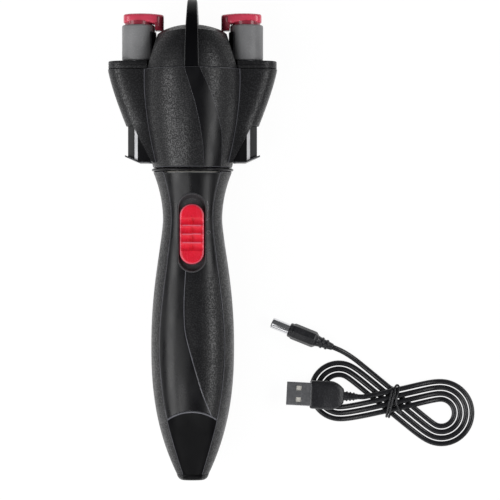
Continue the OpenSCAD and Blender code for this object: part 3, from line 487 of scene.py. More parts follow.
def finish(name):
    """The finish of that name, made when it is first asked for. A plastic's row holds its
    material's name, colour, roughness, share of the grain, specular level, coat, and the
    attribute that limits the grain."""
    c = bpy.context.scene.braider_colours
    plastics = {
        "etched": ("etched_black", c.shell, 0.46, 1, 0.3, 0.7),
        "gloss": ("gloss_black", c.gloss, 0.3, 0, 0.3),
        "blade": ("blade_black", tone(c.gloss, 0.7), 0.3, 0, 0.1),
        "satin": ("satin_black", c.shell, 0.36, 0.3, 0.3, 0.3),
        # rim: light grey for painted highlights on rounded edges and seams.
        "rim": ("rim_grey", tone(c.shell, 13), 0.3),
        # ridge: light grey for painted highlights along the swept line and the scoop's edge, and
        # the colour of the marks beside the switch.
        "ridge": ("ridge_grey", tone(c.shell, 17), 0.3),
        # bright: near-white painted highlight on the levers' chamfer facet.
        "bright": ("bright_edge", (0.7, 0.7, 0.72), 0.3),
        "clip": ("clip_grey", c.clip, 0.45, 0, 0.35),
        "hook": ("hook_red", c.hook, 0.28, 0, 0.5, 0.3),
        # leg: the hook's red darkened, painted shade on the leg and under the cap.
        "leg": ("leg_red", tone(c.hook, 0.42), 0.3, 0, 0.5, 0.3),
        "switch": ("switch_red", c.switch, 0.3, 0.2),
        # crest: lighter pink, a painted highlight on the slider's rim and rib tops.
        "crest": ("crest_red", (0.87, 0.12, 0.18), 0.3),
        # grey: the switch lining's own dark grey, also a painted highlight on the blade's rounded
        # edges.
        "grey": ("lining_grey", (0.05, 0.05, 0.053), 0.4, 1, 0.4),
        "panel": ("panel_black", c.gloss, 0.32, 1, 0.35, 0.7, "dotted"),
        "scoop": ("scoop_black", tone(c.gloss, 0.6), 0.36, 0, 0.12),
        "lead": ("lead_sheath", c.lead, 0.27, 0.2),
        "plug": ("plug_black", tone(c.lead, 1.3), 0.36, 0.6),
        "acetal": ("acetal", (0.72, 0.7, 0.64), 0.42),
        "board": ("board_green", (0.02, 0.13, 0.05), 0.35),
        "cell": ("cell_wrap", (0.07, 0.24, 0.18), 0.25, 0, 0.5, 0.5),
    }
    metals = {"steel": ("turned_steel", (0.55, 0.55, 0.57), 0.34),
              "plated": ("plated", (0.76, 0.76, 0.78), 0.2, (1, 1, 8))}
    if name not in FINISHES:
        FINISHES[name] = turned_metal(*metals[name]) if name in metals else moulded(*plastics[name])
    return FINISHES[name]


# ---- Stage ----


LAMP_AIM = (0.0, 0.0, 0.02)
VIEW_X, VIEW_Y = 0.0287, -0.00475
FLOOR_HALF, FILL_LIGHT = 5000, 0.1
PAPER_WHITE, PAPER_SHARE = 1.06, 0.9


def soft_box(name, place, size, power):
    """Rectangular lamp that faces a point."""
    lamp = bpy.data.lights.new(name, "AREA")
    lamp.shape, lamp.size, lamp.size_y, lamp.energy = "RECTANGLE", size[0], size[1], power
    obj = bpy.data.objects.new(name, lamp)
    back = np.array(place, float) - LAMP_AIM
    back /= np.linalg.norm(back)
    across = np.cross([0.0, 1.0, 0.0], back) if abs(back[1]) < 0.7 else np.array([1.0, 0.0, 0.0])
    across /= np.linalg.norm(across)
    rise = np.cross(back, across)
    rows = [[across[k], rise[k], back[k], place[k]] for k in range(3)]
    obj.matrix_world = Matrix(rows + [[0, 0, 0, 1]])
    bpy.context.scene.collection.objects.link(obj)
    return obj


def floor_finish():
    """Pale paper that the camera and gloss see as white, with the shadow kept."""
    paint = Paint("paper")
    rays = paint.node("ShaderNodeLightPath", output="Is Camera Ray")
    gloss = paint.node("ShaderNodeLightPath", output="Is Glossy Ray")
    through = paint.node("ShaderNodeLightPath", output="Is Transmission Ray")
    seen = rays.maths("MAXIMUM", rays.maths("MAXIMUM", rays, gloss), through)
    sheet = paint.node("ShaderNodeBsdfDiffuse", {}, {"Color": (0.86, 0.86, 0.86, 1)})
    white = paint.node("ShaderNodeEmission", {}, {"Color": (1, 1, 1, 1), "Strength": PAPER_WHITE})
    both = paint.node("ShaderNodeMixShader", {}, {0: seen * PAPER_SHARE, 1: sheet, 2: white})
    paint.node("ShaderNodeOutputMaterial", {}, {"Surface": both})
    return paint.material


class BRAIDER_OT_stage(bpy.types.Operator):
    """Sets the camera, the pale floor and the soft light"""
    bl_idname = "braider.stage"
    bl_label = "Stage"

    def execute(self, context):
        studio = context.scene.braider_studio
        context.scene.view_settings.view_transform = "Standard"

        camera = bpy.data.cameras.new("camera")
        camera.sensor_width = 36.0
        camera.lens = camera.sensor_width * studio.distance / studio.field
        camera.clip_end = 10.0
        eye = bpy.data.objects.new("camera", camera)
        eye.location = (VIEW_X, VIEW_Y, AXIS_Z * MM + studio.distance)
        context.scene.collection.objects.link(eye)
        context.scene.camera = eye

        side = FLOOR_HALF * columns(np.array([-1, 1, 1, -1]), np.array([-1, -1, 1, 1]), 0)
        floor = make_piece("floor", [(side, [[0, 1, 2, 3]])], closed=False)
        floor.data.materials.append(floor_finish())

        world = bpy.data.worlds.new("studio")
        world.use_nodes = True
        world.node_tree.nodes["Background"].inputs["Color"].default_value = (0.9, 0.92, 0.95, 1)
        world.node_tree.nodes["Background"].inputs["Strength"].default_value = FILL_LIGHT
        context.scene.world = world

        soft_box("left_box", (-1.0, -0.25, 0.75), (0.6, 1.3), studio.side_light * 1.1)
        soft_box("right_box", (0.95, 0.0, 0.8), (0.45, 1.3), studio.side_light * 0.8)
        soft_box("bulb_box", (-0.45, -0.4, 1.1), (0.5, 0.5), studio.side_light * 0.3)
        soft_box("tail_box", (0.0, -1.2, 0.6), (1.2, 0.4), studio.end_light)
        return {"FINISHED"}


# ---- Charging lead ----

LEAD_R = 1.3
HANK_C, HANK_R, HANK_STEP = 26.5, 11.6, 3.12
HANK_PLACE, HANK_TURN = (100.0, -82.0), np.radians(-13)
TURNS, ARC_STEPS, CROSS_HALF = 3.5, 9, 11.0
LOW_Z, HIGH_Z, PLUG_Z = 2.7, 5.8, 6.9
LEAD_IN = [[-34.8, 20.6, 4.2], [-31.6, 20.1, 3.8], [-27.6, 19.1, 2.6], [-23.4, 17.5, 1.7],
           [-19.4, 15.7, 1.3]]
LEAD_OUT = [[-14.2, -0.5, PLUG_Z - 0.3], [-17.0, -1.0, PLUG_Z]]
BARREL_HEADING, USB_HEADING = np.radians(171), np.radians(190)


def on_table(points):
    """From the figure of eight's own frame to its place on the table."""
    c, s = np.cos(HANK_TURN), np.sin(HANK_TURN)
    x, y, z = np.moveaxis(np.asarray(points, float), -1, 0)
    return columns(HANK_PLACE[0] + c * x - s * y, HANK_PLACE[1] + s * x + c * y, z)


def at_plug(points, end, heading):
    """From a plug's own frame, whose Z runs on along the lead and X down, to the table."""
    x, y, z = np.moveaxis(np.asarray(points, float), -1, 0)
    c, s = np.cos(heading), np.sin(heading)
    return on_table(columns(end[0] + c * z - s * y, end[1] + s * z + c * y, end[2] - x))


def lead_route():
    """Route of the lead. A middle loop of two crossed straights and two lobes is walked 24
    stations a turn, and each station stands off to the side by a share of a step, so that loops
    lie side by side. The straights lie low and high at the crossing, the lobes on the table."""
    slope = np.arcsin(HANK_R / HANK_C)
    sweep = np.pi + 2 * slope
    lobe = np.linspace(0, 1, ARC_STEPS + 1)
    part = np.repeat([0, 1, 2, 3], [2, ARC_STEPS + 1, 2, ARC_STEPS + 1])
    v = np.concatenate([[-CROSS_HALF, CROSS_HALF], lobe, [-CROSS_HALF, CROSS_HALF], lobe])
    n = len(part)
    i = np.arange(int(TURNS * n) + 2)
    part, v = part[i % n], v[i % n]
    h = np.select([part == 0, part == 1, part == 2],
                  [-slope + 0 * v, v * sweep - slope, np.pi + slope + 0 * v],
                  np.pi + slope - v * sweep)
    x = np.select([part == 1, part == 3],
                  [HANK_C + HANK_R * np.sin(h), -HANK_C - HANK_R * np.sin(h)], v * np.cos(h))
    y = np.select([part == 1, part == 3], [-HANK_R * np.cos(h), HANK_R * np.cos(h)], v * np.sin(h))
    off = HANK_STEP * (TURNS / 2 - i / n)
    z = np.select([part == 0, part == 2], [LOW_Z + 0 * v, HIGH_Z + 0 * v], LEAD_R)
    loops = columns(x - off * np.sin(h), y + off * np.cos(h), z)
    return np.concatenate([LEAD_IN, loops, LEAD_OUT])


def turned(profile, sides=64, facets=0):
    """Profile of radius and length turned round a plug's own Z. With facets, the section is a
    polygon of that many sides where the third column of the profile is 1."""
    p = np.asarray(profile, float)
    a = np.linspace(0, 2 * np.pi, sides, endpoint=False)[None, :]
    scale = 1.0
    if facets:
        pitch = 2 * np.pi / facets
        flat = np.cos(pitch / 2) / np.cos((a % pitch) - pitch / 2)
        scale = blend(1.0, flat, p[:, 2:3])
    return columns(p[:, :1] * np.cos(a) * scale, p[:, :1] * np.sin(a) * scale, p[:, 1:2])


def box_section(half_t, half_w, z, power=5.0, sides=64):
    """Rounded box section: the superellipse of that power, for each station of a plug."""
    a = np.linspace(0, 2 * np.pi, sides, endpoint=False)[None, :]
    t, w, z = (np.asarray(v, float)[:, None] for v in (half_t, half_w, z))
    return columns(t * signed_pow(np.cos(a), 2 / power), w * signed_pow(np.sin(a), 2 / power), z)


def usb_pieces():
    """Ribbed relief, moulded grip with shoulders and a dished face, and a plated shell."""
    end = LEAD_OUT[1]
    place = lambda rings: at_plug(rings, end, USB_HEADING)
    z = np.linspace(0, 7, 85)
    rib = (share(np.cos(2 * np.pi * (z - 0.2) / 1.75), -0.2, 0.5)
           * share(z, 0.6, 1.0) * share(-z, -6.6, -6.2))
    radius = blend(LEAD_R + 0.12, 2.3, z / 7) + 0.42 * rib
    relief = make_piece("usb_relief_ribbed", [skin(place(turned(np.stack([radius, z], 1))))])

    z = np.array([0, 0.15, 0.6, 1.4, 2.4, 3.6, 4.8, 5.8, 7, 10, 13, 15.5, 16.3, 16.8, 17.0])
    w = np.array([3.2, 3.7, 4.1, 4.9, 5.7, 6.4, 6.9, 7.15, 7.2, 7.2, 7.2, 7.2, 7.15, 6.9, 6.4])
    t = np.array([2.3, 2.6, 2.8, 3.1, 3.4, 3.6, 3.68, 3.7, 3.66, 3.5, 3.5, 3.66, 3.66, 3.45, 3.0])
    fine = np.linspace(0, 17, 70)
    rings = box_section(np.interp(fine, z, t), np.interp(fine, z, w), 7 + fine)
    grip = make_piece("usb_grip_moulded", [skin(place(rings))])

    outer = box_section([2.25, 2.25], [6, 6], [24.02, 36], 14, 96)
    inner = box_section([1.9, 1.9], [5.65, 5.65], [36, 25], 14, 96)
    shell = make_piece("usb_shell_plated", [skin(place(np.concatenate([outer, inner])))])
    window = lambda y: skin(place(box_section([3, 3], [1.2, 1.2], [28.6, 31.2], 12, 32)
                                  + np.array([0.0, y, 0.0])))
    combine(shell, [window(-2.9), window(2.9)])
    leaf = box_section([0.9, 0.9], [5.4, 5.4], [25.0, 35.2], 14, 64) - np.array([0.85, 0.0, 0.0])
    tongue = make_piece("usb_tongue", [skin(place(leaf))])
    settle(relief, "plug", "usb_plug_relief")
    settle(grip, "plug", "usb_plug_grip")
    settle(shell, "plated", "usb_plug_shell")
    attach(tongue, "acetal", "usb_plug_shell")
    return [relief, grip, shell, tongue]


def barrel_pieces():
    """Boot with two ribs, eight-sided grip and a bored plated tip."""
    end = LEAD_IN[0]
    profile = np.array([
        [0, 0, 0], [1.55, 0, 0], [1.7, 0.3, 0], [2.0, 2.6, 0], [2.55, 2.9, 0], [2.6, 3.8, 0],
        [2.15, 4.1, 0], [2.25, 5.2, 0], [2.85, 5.5, 0], [2.9, 6.4, 0], [2.5, 6.7, 0],
        [2.9, 8.6, 0], [3.3, 9.0, 0.4], [4.05, 9.9, 1], [4.2, 10.6, 1], [4.2, 21.5, 1],
        [4.0, 22.0, 1], [3.7, 22.3, 0.5], [3.7, 23.4, 0], [3.3, 23.99, 0], [0, 23.99, 0]])
    grip = make_piece("barrel_grip_faceted", [skin(at_plug(
        turned(rounded(profile, 0.25), 96, 8), end, BARREL_HEADING))])
    bore = [[0, 23.99], [2.75, 23.99], [2.75, 33.1], [2.45, 33.5], [1.05, 33.5], [1.05, 25.2],
            [0, 25.2]]
    bored = turned(rounded(bore, 0.15))
    tip = make_piece("barrel_tip_plated", [skin(at_plug(bored, end, BARREL_HEADING))])
    settle(grip, "plug", "barrel_plug_grip")
    settle(tip, "plated", "barrel_plug_tip")
    return [grip, tip]


def tie_piece():
    """Wire wound twice round the crossing, with its eye and its end standing out on top."""
    r = 0.58
    half_w, low, high = 7.6, r, HIGH_Z + LEAD_R + 0.2 + r
    a = np.linspace(-0.5 * np.pi, 3.5 * np.pi, 97)
    mid, half_h = (low + high) / 2, (high - low) / 2
    wound = columns(0.66 * (a - 1.5 * np.pi) / np.pi, half_w * signed_pow(np.cos(a), 0.55),
                    mid + half_h * signed_pow(np.sin(a), 0.55))
    top = high + 0.05
    eye = [[0.9, 2.0, top + 0.2], [1.2, 5.0, top + 0.3], [0.2, 8.2, top - 1.0],
           [1.4, 9.7, top - 1.6], [2.7, 8.4, top - 1.1], [2.4, 5.2, top + 0.5],
           [2.2, 1.5, top + 0.7], [4.0, -2.0, top + 0.2], [6.6, -4.2, top - 1.2]]
    path = on_table(smooth_path(np.array(eye), 10))
    knot = make_piece("lead_tie_wire", [tube(on_table(wound), r, 12), tube(path, r, 12)])
    return settle(knot, "lead", "lead_tie")


class BRAIDER_OT_lead(bpy.types.Operator):
    """Lays the charging lead with its tie and its two plugs"""
    bl_idname = "braider.lead"
    bl_label = "Charging lead"

    def execute(self, context):
        path = on_table(smooth_path(lead_route(), 5))
        lead = make_piece("charging_lead_sheath", [tube(path, LEAD_R)])
        settle(lead, "lead", "charging_lead")
        pieces = usb_pieces() + barrel_pieces() + [tie_piece()]
        return {"FINISHED"}


# ---- Handle ----

TAIL_Y, SEAM_Y, WAIST_Y, PALM_Y, SCOOP_Y, SLOT_Y = -120.0, 36.0, 10.25, -52.25, -84.5, 3.8
SHELL_TOP_Y, SHELL_END_Y = 34.1, -117.0
AXIS_Z, COLLAR_R, WALL, SEAM, FIT = 25.7, 20.45, 2.2, 0.12, 0.05
TIP_FRONT, SCOOP_ARC, SECTION_POWER = 0.6, 4.2, 2.3
SOCKET_R, LOW_COLUMNS = 3.2, 20
SEAM_SHARES = np.array([[0, 0.56], [0.22, 0.72], [0.43, 0.79], [0.7, 0.7], [0.85, 0.68],
                        [1, 0.74]])


def along_handle(y, collar, waist, palm, tip):
    """Value that goes from the collar by a parabola to the waist, by an eased wave to the palm,
    and by a power curve to the tip."""
    upper = blend(waist, collar, share(y, WAIST_Y, SEAM_Y) ** 2)
    middle = blend(waist, palm, ease(share(-y, -WAIST_Y, -PALM_Y) ** 0.7))
    lower = blend(palm, tip, share(-y, -PALM_Y, -TAIL_Y) ** 2.4)
    return np.where(y >= WAIST_Y, upper, np.where(y >= PALM_Y, middle, lower))


def half_w(y):
    """Half width of the handle."""
    return along_handle(y, COLLAR_R, 14.8, 20.75, 6.6)


def back(y):
    """Depth of the back below the long axis."""
    return along_handle(y, COLLAR_R, 15.4, 26.9, 12.6)


def full_front(y):
    """Height of the front above the long axis, before the scoop is taken off."""
    return along_handle(y, COLLAR_R, 15.8, 18.4, 18.4 * 0.72)


def front(y):
    """Height of the front above the long axis, which falls to the tip along the scoop."""
    fall = share(-y, -SCOOP_Y, -TAIL_Y) ** 0.9
    top = full_front(np.float64(SCOOP_Y))
    return np.where(y >= SCOOP_Y, full_front(y), blend(top, TIP_FRONT, fall))


def mid_z(y):
    """Height of the section's widest line, which sinks towards the tip."""
    return -along_handle(y, 0, 0, 3, 6)


def power(y):
    """Squareness of the section, from round at the collar to squarer at the waist."""
    return blend(SECTION_POWER, 2, share(y, WAIST_Y, SEAM_Y - 4))


def seam_share(y):
    """Share of the half width at which the panel's seams lie, averaged over 16 mm."""
    near = np.asarray(y, float)[..., None] + np.linspace(-8, 8, 5)
    return np.interp((near - TAIL_Y) / (SEAM_Y - TAIL_Y), *SEAM_SHARES.T).mean(axis=-1)


def seam_angle(y):
    """Angle of the seam round the section."""
    return np.arccos(seam_share(y) ** (power(y) / 2))


def scoop_sag(y, a):
    """Sag of the scoop's edge at angle a, as the square of the share of the way to the seam."""
    full = SCOOP_ARC * share(-y, -PALM_Y, -PALM_Y + 15) * share(y, SHELL_END_Y, SHELL_END_Y + 20)
    return full * np.minimum(1, np.abs(np.cos(a)) ** (2 / power(y)) / seam_share(y)) ** 2


def handle_point(y, a, inset=0.0):
    """Superellipse section at y, at angle a round it, pushed in by inset and cut at the table."""
    p = 2 / power(y)
    high = front(y + scoop_sag(y, a)) - mid_z(y) - inset
    low = back(y) + mid_z(y) - inset
    z = mid_z(y) + np.where(np.sin(a) > 0, high, low) * signed_pow(np.sin(a), p)
    x = (half_w(y) - inset) * signed_pow(np.cos(a), p)
    return columns(x, y, np.maximum(inset, AXIS_Z + z))


def seam_step(y):
    """Angle that half of the seam takes up."""
    return SEAM / half_w(y)


def front_angle(y, t):
    """Angle at share t of the way across the front, from the right seam to the left one."""
    a = seam_angle(y) + seam_step(y)
    return blend(a, np.pi - a, t)


def front_point(y, t, inset=0.0):
    """Point of the front at share t, in rows that sag with the scoop's edge."""
    v = y - scoop_sag(y, front_angle(y, t))
    return handle_point(v, front_angle(v, t), inset)


def stadium(length, width, count=96):
    """Outline of a slot with round ends along Y, anticlockwise, at even distances."""
    a = np.linspace(0, np.pi, 40)
    end = np.stack([np.cos(a), np.sin(a)], 1) * width / 2
    lift = [0, (length - width) / 2]
    return spread(np.concatenate([end + lift, -end - lift]), count, closed=True)


SWEEP = np.array([[-88, 11.55], [-83.1, 8.8], [-76.6, 5.55], [-66.9, 2.3], [-56, -0.95],
                  [-44.8, -3.8], [-33, -4.15], [-24.8, -3.9], [-16.7, -3.25], [24, -3.25]])


def sweep_x(y):
    """Place across the panel of the swept line, averaged over 8 mm."""
    near = np.asarray(y, float)[..., None] + np.linspace(-4, 4, 5)
    return np.interp(near, *SWEEP.T).mean(axis=-1)


def row_y(x, y):
    """Row of the front that holds the point at x and y: the sag of the scoop's edge is undone."""
    out = np.minimum(1, np.abs(x) / (half_w(y) * seam_share(y)))
    return y + SCOOP_ARC * share(-y, -PALM_Y, -PALM_Y + 15) * out ** 2


def sweep_t(y):
    """Place of the swept line, as a share of the way across the front."""
    s = sweep_x(y) / half_w(y)
    a = seam_angle(y) + seam_step(y)
    t = (np.arccos(signed_pow(s, power(y) / 2)) - a) / (np.pi - 2 * a)
    return np.clip(t, 0.1, 0.9)


def front_panel_piece(context):
    """The panel's columns follow the swept line, and right of it they lie a step lower."""
    y = np.linspace(SHELL_TOP_Y - 0.6, SCOOP_Y + 0.1, 170)[:, None]
    line, ramp = sweep_t(y), 0.35 / (2 * half_w(y))
    t = np.concatenate([(line - ramp) * np.linspace(0, 1, LOW_COLUMNS),
                        blend(line, 1, np.linspace(0, 1, 34))], 1)
    drop = context.scene.braider_shape.sweep_step / MM * share(-y, -8, 12)
    inset = drop * (np.arange(t.shape[1]) < LOW_COLUMNS)
    wall = slab(front_point(y, t, inset), front_point(y, t, WALL))
    panel = make_piece("front_panel", [wall], sharp=24)
    soften(panel, 0.16)
    apply_all(panel)
    hole = stadium(SLOT_L + 2 * LINING + 2 * FIT, SLOT_W + 2 * LINING + 2 * FIT)
    column = np.stack([columns(hole[:, 0], SLOT_Y + hole[:, 1], AXIS_Z + z) for z in (0, 30)])
    combine(panel, [skin(column)], sharp=24)
    at = np.zeros(len(panel.data.vertices) * 3)
    panel.data.vertices.foreach_get("co", at)
    x, y = at.reshape(-1, 3)[:, 0] / MM, at.reshape(-1, 3)[:, 1] / MM
    field = (x > sweep_x(row_y(x, y)) + 0.2) * share(-y, 12, 20)
    panel.data.attributes.new("dotted", "FLOAT", "POINT").data.foreach_set("value", field)
    # A light grey strip along the swept line is a painted highlight on its step.
    mark(panel, lambda x, y, z: (np.abs(x - sweep_x(row_y(x, y)) - 0.17) < 0.15) * (y < -15)
         * (z > 30), "ridge")
    settle(panel, "panel", "handle_front_panel")


def nose_part():
    """Section at the shells' end, shrunk along the nose's profile about the socket, which is
    bored through it."""
    a = -np.linspace(0, 2 * np.pi, 128, endpoint=False)[None, :]
    profile = rounded([[0, 1], [0.45, 0.95], [0.8, 0.85], [1, 0.72]], 0.25)
    base = handle_point(np.float64(SHELL_END_Y), a)
    z0 = AXIS_Z + mid_z(np.float64(TAIL_Y))
    t, size = profile.T[:, :, None]
    y = blend(SHELL_END_Y - SEAM, TAIL_Y, t)
    outer = columns(base[..., 0] * size, y, z0 + (base[..., 2] - z0) * size)
    r, y = np.array([[SOCKET_R + 0.3, TAIL_Y], [SOCKET_R, TAIL_Y + 0.3],
                     [SOCKET_R, SHELL_END_Y - SEAM]]).T[:, :, None]
    bore = columns(r * np.cos(a), y, z0 + r * np.sin(a))
    return skin(np.concatenate([outer, bore]), loop=True)


class BRAIDER_OT_handle(bpy.types.Operator):
    """Makes the handle's shells, tail cap and collar"""
    bl_idname = "braider.handle"
    bl_label = "Handle"

    def execute(self, context):
        edge = context.scene.braider_shape.edge / MM
        y = np.linspace(SHELL_TOP_Y, SHELL_END_Y, 190)[:, None]
        a0 = np.pi - seam_angle(y) + seam_step(y)
        a = blend(a0, 3 * np.pi - a0, np.linspace(0, 1, 121)[None, :])
        shell = make_piece("rear_shell", [slab(handle_point(y, a), handle_point(y, a, WALL))])
        soften(shell, edge)
        settle(shell, "etched", "handle_rear_shell")
        front_panel_piece(context)

        y = np.linspace(SCOOP_Y - 0.1, SHELL_END_Y, 60)[:, None]
        t = np.linspace(0, 1, 41)[None, :]
        scoop = make_piece("thumb_scoop", [slab(front_point(y, t), front_point(y, t, WALL))])
        # A light grey band at the scoop's upper edge is a painted highlight.
        mark(scoop, lambda x, y, z: (row_y(x, y) > SCOOP_Y - 0.7) * (y < SCOOP_Y), "ridge")
        settle(scoop, "scoop", "tail_scoop")

        nose = make_piece("tail_nose", [nose_part()])
        mark(nose, lambda x, y, z: (np.abs(x) < 4.7) * (z > AXIS_Z - 5), "scoop")
        settle(nose, "etched", "tail_cap")
        ring = [[11.4, 0], [19.25, 0], [20.35, 0.5], [COLLAR_R, 0.9], [20.2, 1.4], [19.55, 1.7],
                [11.4, 1.7]]
        collar = lathe(rounded(ring, 0.25, closed=True) + [0, SEAM_Y - 1.7], sides=160, loop=True)
        settle(make_piece("collar", [collar]), "gloss", "collar_ring")
        return {"FINISHED"}


# ---- Switch ----

SLOT_L, SLOT_W, LINING = 37.7, 12.6, 0.9
FLOOR_Z, BASE_Z = AXIS_Z + 13.2, AXIS_Z + 12
SLIDER_L, SLIDER_W, SLIDER_Y, SLIDER_TOP = 29.8, 11.85, SLOT_Y - 0.7, AXIS_Z + 18.3
STEM_SLOT, RIB_PITCH, GROOVE_R = [1.8, 5.3], SLIDER_L / 7, 2.3


def ring_at(outline, z, y0=SLOT_Y):
    """An outline of the front, at a height or heights."""
    return columns(outline[:, 0], y0 + outline[:, 1], z)


def surface_z(outline, y0=SLOT_Y):
    """Height of the handle's front above each point of an outline."""
    y = y0 + outline[:, 1]
    across = np.abs(outline[:, 0]) / half_w(y)
    rise = (1 - across ** power(y)) ** (1 / power(y))
    return AXIS_Z + mid_z(y) + (front(y) - mid_z(y)) * rise


def on_crest(x, y, z):
    """Faces of the slider's sloped rim and of the tops of its three ribs, which get a lighter pink
    as a painted highlight.
    """
    past = np.maximum(np.abs(y - SLIDER_Y) - (SLIDER_L - SLIDER_W) / 2, 0)
    inset = SLIDER_W / 2 - np.hypot(x, past)
    off = np.abs((y - SLIDER_Y + RIB_PITCH / 2) % RIB_PITCH - RIB_PITCH / 2)
    rim = (inset > 0.08) * (inset < 0.7)
    ribs = (inset > 1.3) * (off < 0.36) * (np.abs(y - SLIDER_Y) < 5)
    return (rim + ribs) * (z > SLIDER_TOP - 1)


def mark_parts():
    """Small moulded marks beside the slot: a bent arrow, a ring and two bars."""
    a = np.linspace(0, 2 * np.pi, 33)
    lines = [np.stack([8.1 + 0.9 * np.cos(a), 4 + 0.9 * np.sin(a)], 1)]
    lines += [spread(np.array([[7.5, y], [9.0, y]]), 6) for y in (-4.4, -5.8)]
    lines += [spread(np.array(p, float), 24) for p in (
        [[7.7, 19.5], [8.0, 16], [7.7, 12.5], [7.1, 9.6]], [[6.9, 11.4], [7.1, 9.6], [8.3, 10.9]])]
    return [tube(ring_at(line, surface_z(line, 0.0), 0.0), 0.14, 8) for line in lines]


def lining_part():
    """Outer wall, a rounded rim that follows the handle's front, inner wall that slopes in at
    the upper end, floor, and the slot of the stem."""
    n = 160
    outer = stadium(SLOT_L + 2 * LINING, SLOT_W + 2 * LINING, n)
    inner = stadium(SLOT_L, SLOT_W, n)
    low = inner * [0.992, 1] - [0, 1.45] * share(inner[:, 1:], 6, SLOT_L / 2)
    slot = inner / np.max(np.abs(inner) / STEM_SLOT, axis=1, keepdims=True)
    top = surface_z(outer) + 0.15
    rings = [ring_at(outer, BASE_Z), ring_at(outer, top - 0.3)]
    for turn in np.linspace(0, 1, 6):
        edge = blend(outer, inner, 0.12 + 0.76 * turn)
        rings.append(ring_at(edge, top - 0.22 * (2 * turn - 1) ** 2))
    rings += [ring_at(inner, top - 0.45), ring_at(low, FLOOR_Z + 0.25),
              ring_at(low * 0.985, FLOOR_Z), ring_at(slot - [0, 0.7], FLOOR_Z),
              ring_at(slot - [0, 0.7], BASE_Z)]
    return skin(np.stack(rings), loop=True)


def slider_part():
    """Slot outlines that step inwards, a sloped rim, and a top that four round grooves cut."""
    outline = stadium(SLIDER_L, SLIDER_W, 300)
    normal = outward(outline)
    base = FLOOR_Z + 0.2
    levels = [(0.35, base), (0, base + 0.35), (0, SLIDER_TOP - 1.05), (0.1, SLIDER_TOP - 0.8),
              (0.62, SLIDER_TOP - 0.14), (0.78, SLIDER_TOP - 0.06), (1.0, SLIDER_TOP)]
    levels += [(inset, SLIDER_TOP) for inset in np.linspace(1.3, SLIDER_W / 2 - 0.03, 14)]
    rings = np.stack([ring_at(outline - normal * inset, z, SLIDER_Y) for inset, z in levels])
    k = np.arange(-1.5, 2)[:, None, None]
    off = np.minimum(np.abs(rings[None, ..., 1] - SLIDER_Y - k * RIB_PITCH), GROOVE_R - 0.01)
    cut = (SLIDER_TOP + 1.3 - np.sqrt(GROOVE_R ** 2 - off ** 2)).min(axis=0)
    side = share(np.abs(rings[..., 0]), 5.2, 5.9)
    cut += 0.35 * side * (cut < SLIDER_TOP)
    rings[..., 2] = np.minimum(rings[..., 2], cut)
    return skin(rings)


class BRAIDER_OT_switch(bpy.types.Operator):
    """Makes the lined recess and the ribbed slider"""
    bl_idname = "braider.switch"
    bl_label = "Switch"

    def execute(self, context):
        settle(make_piece("switch_recess", [lining_part()]), "grey", "switch_lining")
        slider = make_piece("slider_ribbed", [slider_part()], sharp=50)
        stem = np.array([[1.5, -2], [1.5, 2], [-1.5, 2], [-1.5, -2]])
        post = skin(np.stack([ring_at(stem, FLOOR_Z + z, SLIDER_Y) for z in (-3.8, 0.7)]))
        combine(slider, [post], "UNION", sharp=50)
        # The rim and the rib tops get a lighter pink: painted highlight.
        mark(slider, on_crest, "crest")
        settle(slider, "switch", "switch_slider")
        marks = make_piece("switch_marks", mark_parts())
        attach(marks, "ridge", "handle_front_panel")
        return {"FINISHED"}


# ---- Head ----

BULB_Y0, DECK_Y, BULB_WIDE_Y, POST_X = 36.4, 85.5, 79.0, 27.0
POD_FOOT_Y, FOOT_Y, MOUTH_X, POD_CORNER, POD_POWER, POD_WALL = 57.0, 38.6, 29.6, 12.0, 2.6, 1.4
BAND_LEFT = np.array([[0, 5.95], [0.23, 5.5], [0.43, 4], [0.65, 1.55], [0.85, -1.45], [1, -3.8]])
BAND_RIGHT = np.array([[0, 14.5], [0.13, 14.8], [0.32, 15], [0.43, 14], [0.61, 11.85],
                       [0.8, 8.55], [1, 3.8]])
BULB_R, COVER_WALL, WINDOW_Y, WINDOW_HALF = 25.4, 1.8, 65.7, 8.7
POD_HALF, POD_REACH, LID_Y, LID_TOP_Y = 10, 42.3, 85.6, 89.4


def bulb_r(y):
    """Radius of the round head body: a power curve down to the neck, and a slight close at the
    deck."""
    return np.where(y > BULB_WIDE_Y, BULB_R - 0.2 * ((y - BULB_WIDE_Y) / 6.5) ** 2,
                    BULB_R - 5.7 * share(-y, -BULB_WIDE_Y, -BULB_Y0) ** 1.8)


def to_rear(part):
    """The same surface turned half a turn about the long axis."""
    return part[0] * [-1, 1, -1] + [0, 0, 2 * AXIS_Z], part[1]


def block(lo, hi):
    """Box between two corners."""
    x, y, z = np.array([lo, hi], float).T
    flat = np.array([[x[0], y[0]], [x[1], y[0]], [x[1], y[1]], [x[0], y[1]]])
    return skin(np.stack([columns(flat[:, 0], flat[:, 1], h) for h in z]))


def band_grid(out):
    """Rows across the band, from its right edge to its left one, on the body plus a rise. The
    edges' tables are averaged over a tenth of the height."""
    u = np.linspace(0.004, 0.997, 100)
    near = np.clip(u[:, None] + np.linspace(-0.05, 0.05, 5), 0, 1)
    left = np.interp(near, *BAND_LEFT.T).mean(axis=1)[:, None]
    right = np.interp(near, *BAND_RIGHT.T).mean(axis=1)[:, None]
    y = blend(BULB_Y0, DECK_Y, u)[:, None]
    x = blend(right, left, np.linspace(0, 1, 25)[None, :])
    r = bulb_r(y) + out
    return columns(x, y, AXIS_Z + np.sqrt(r * r - x * x))


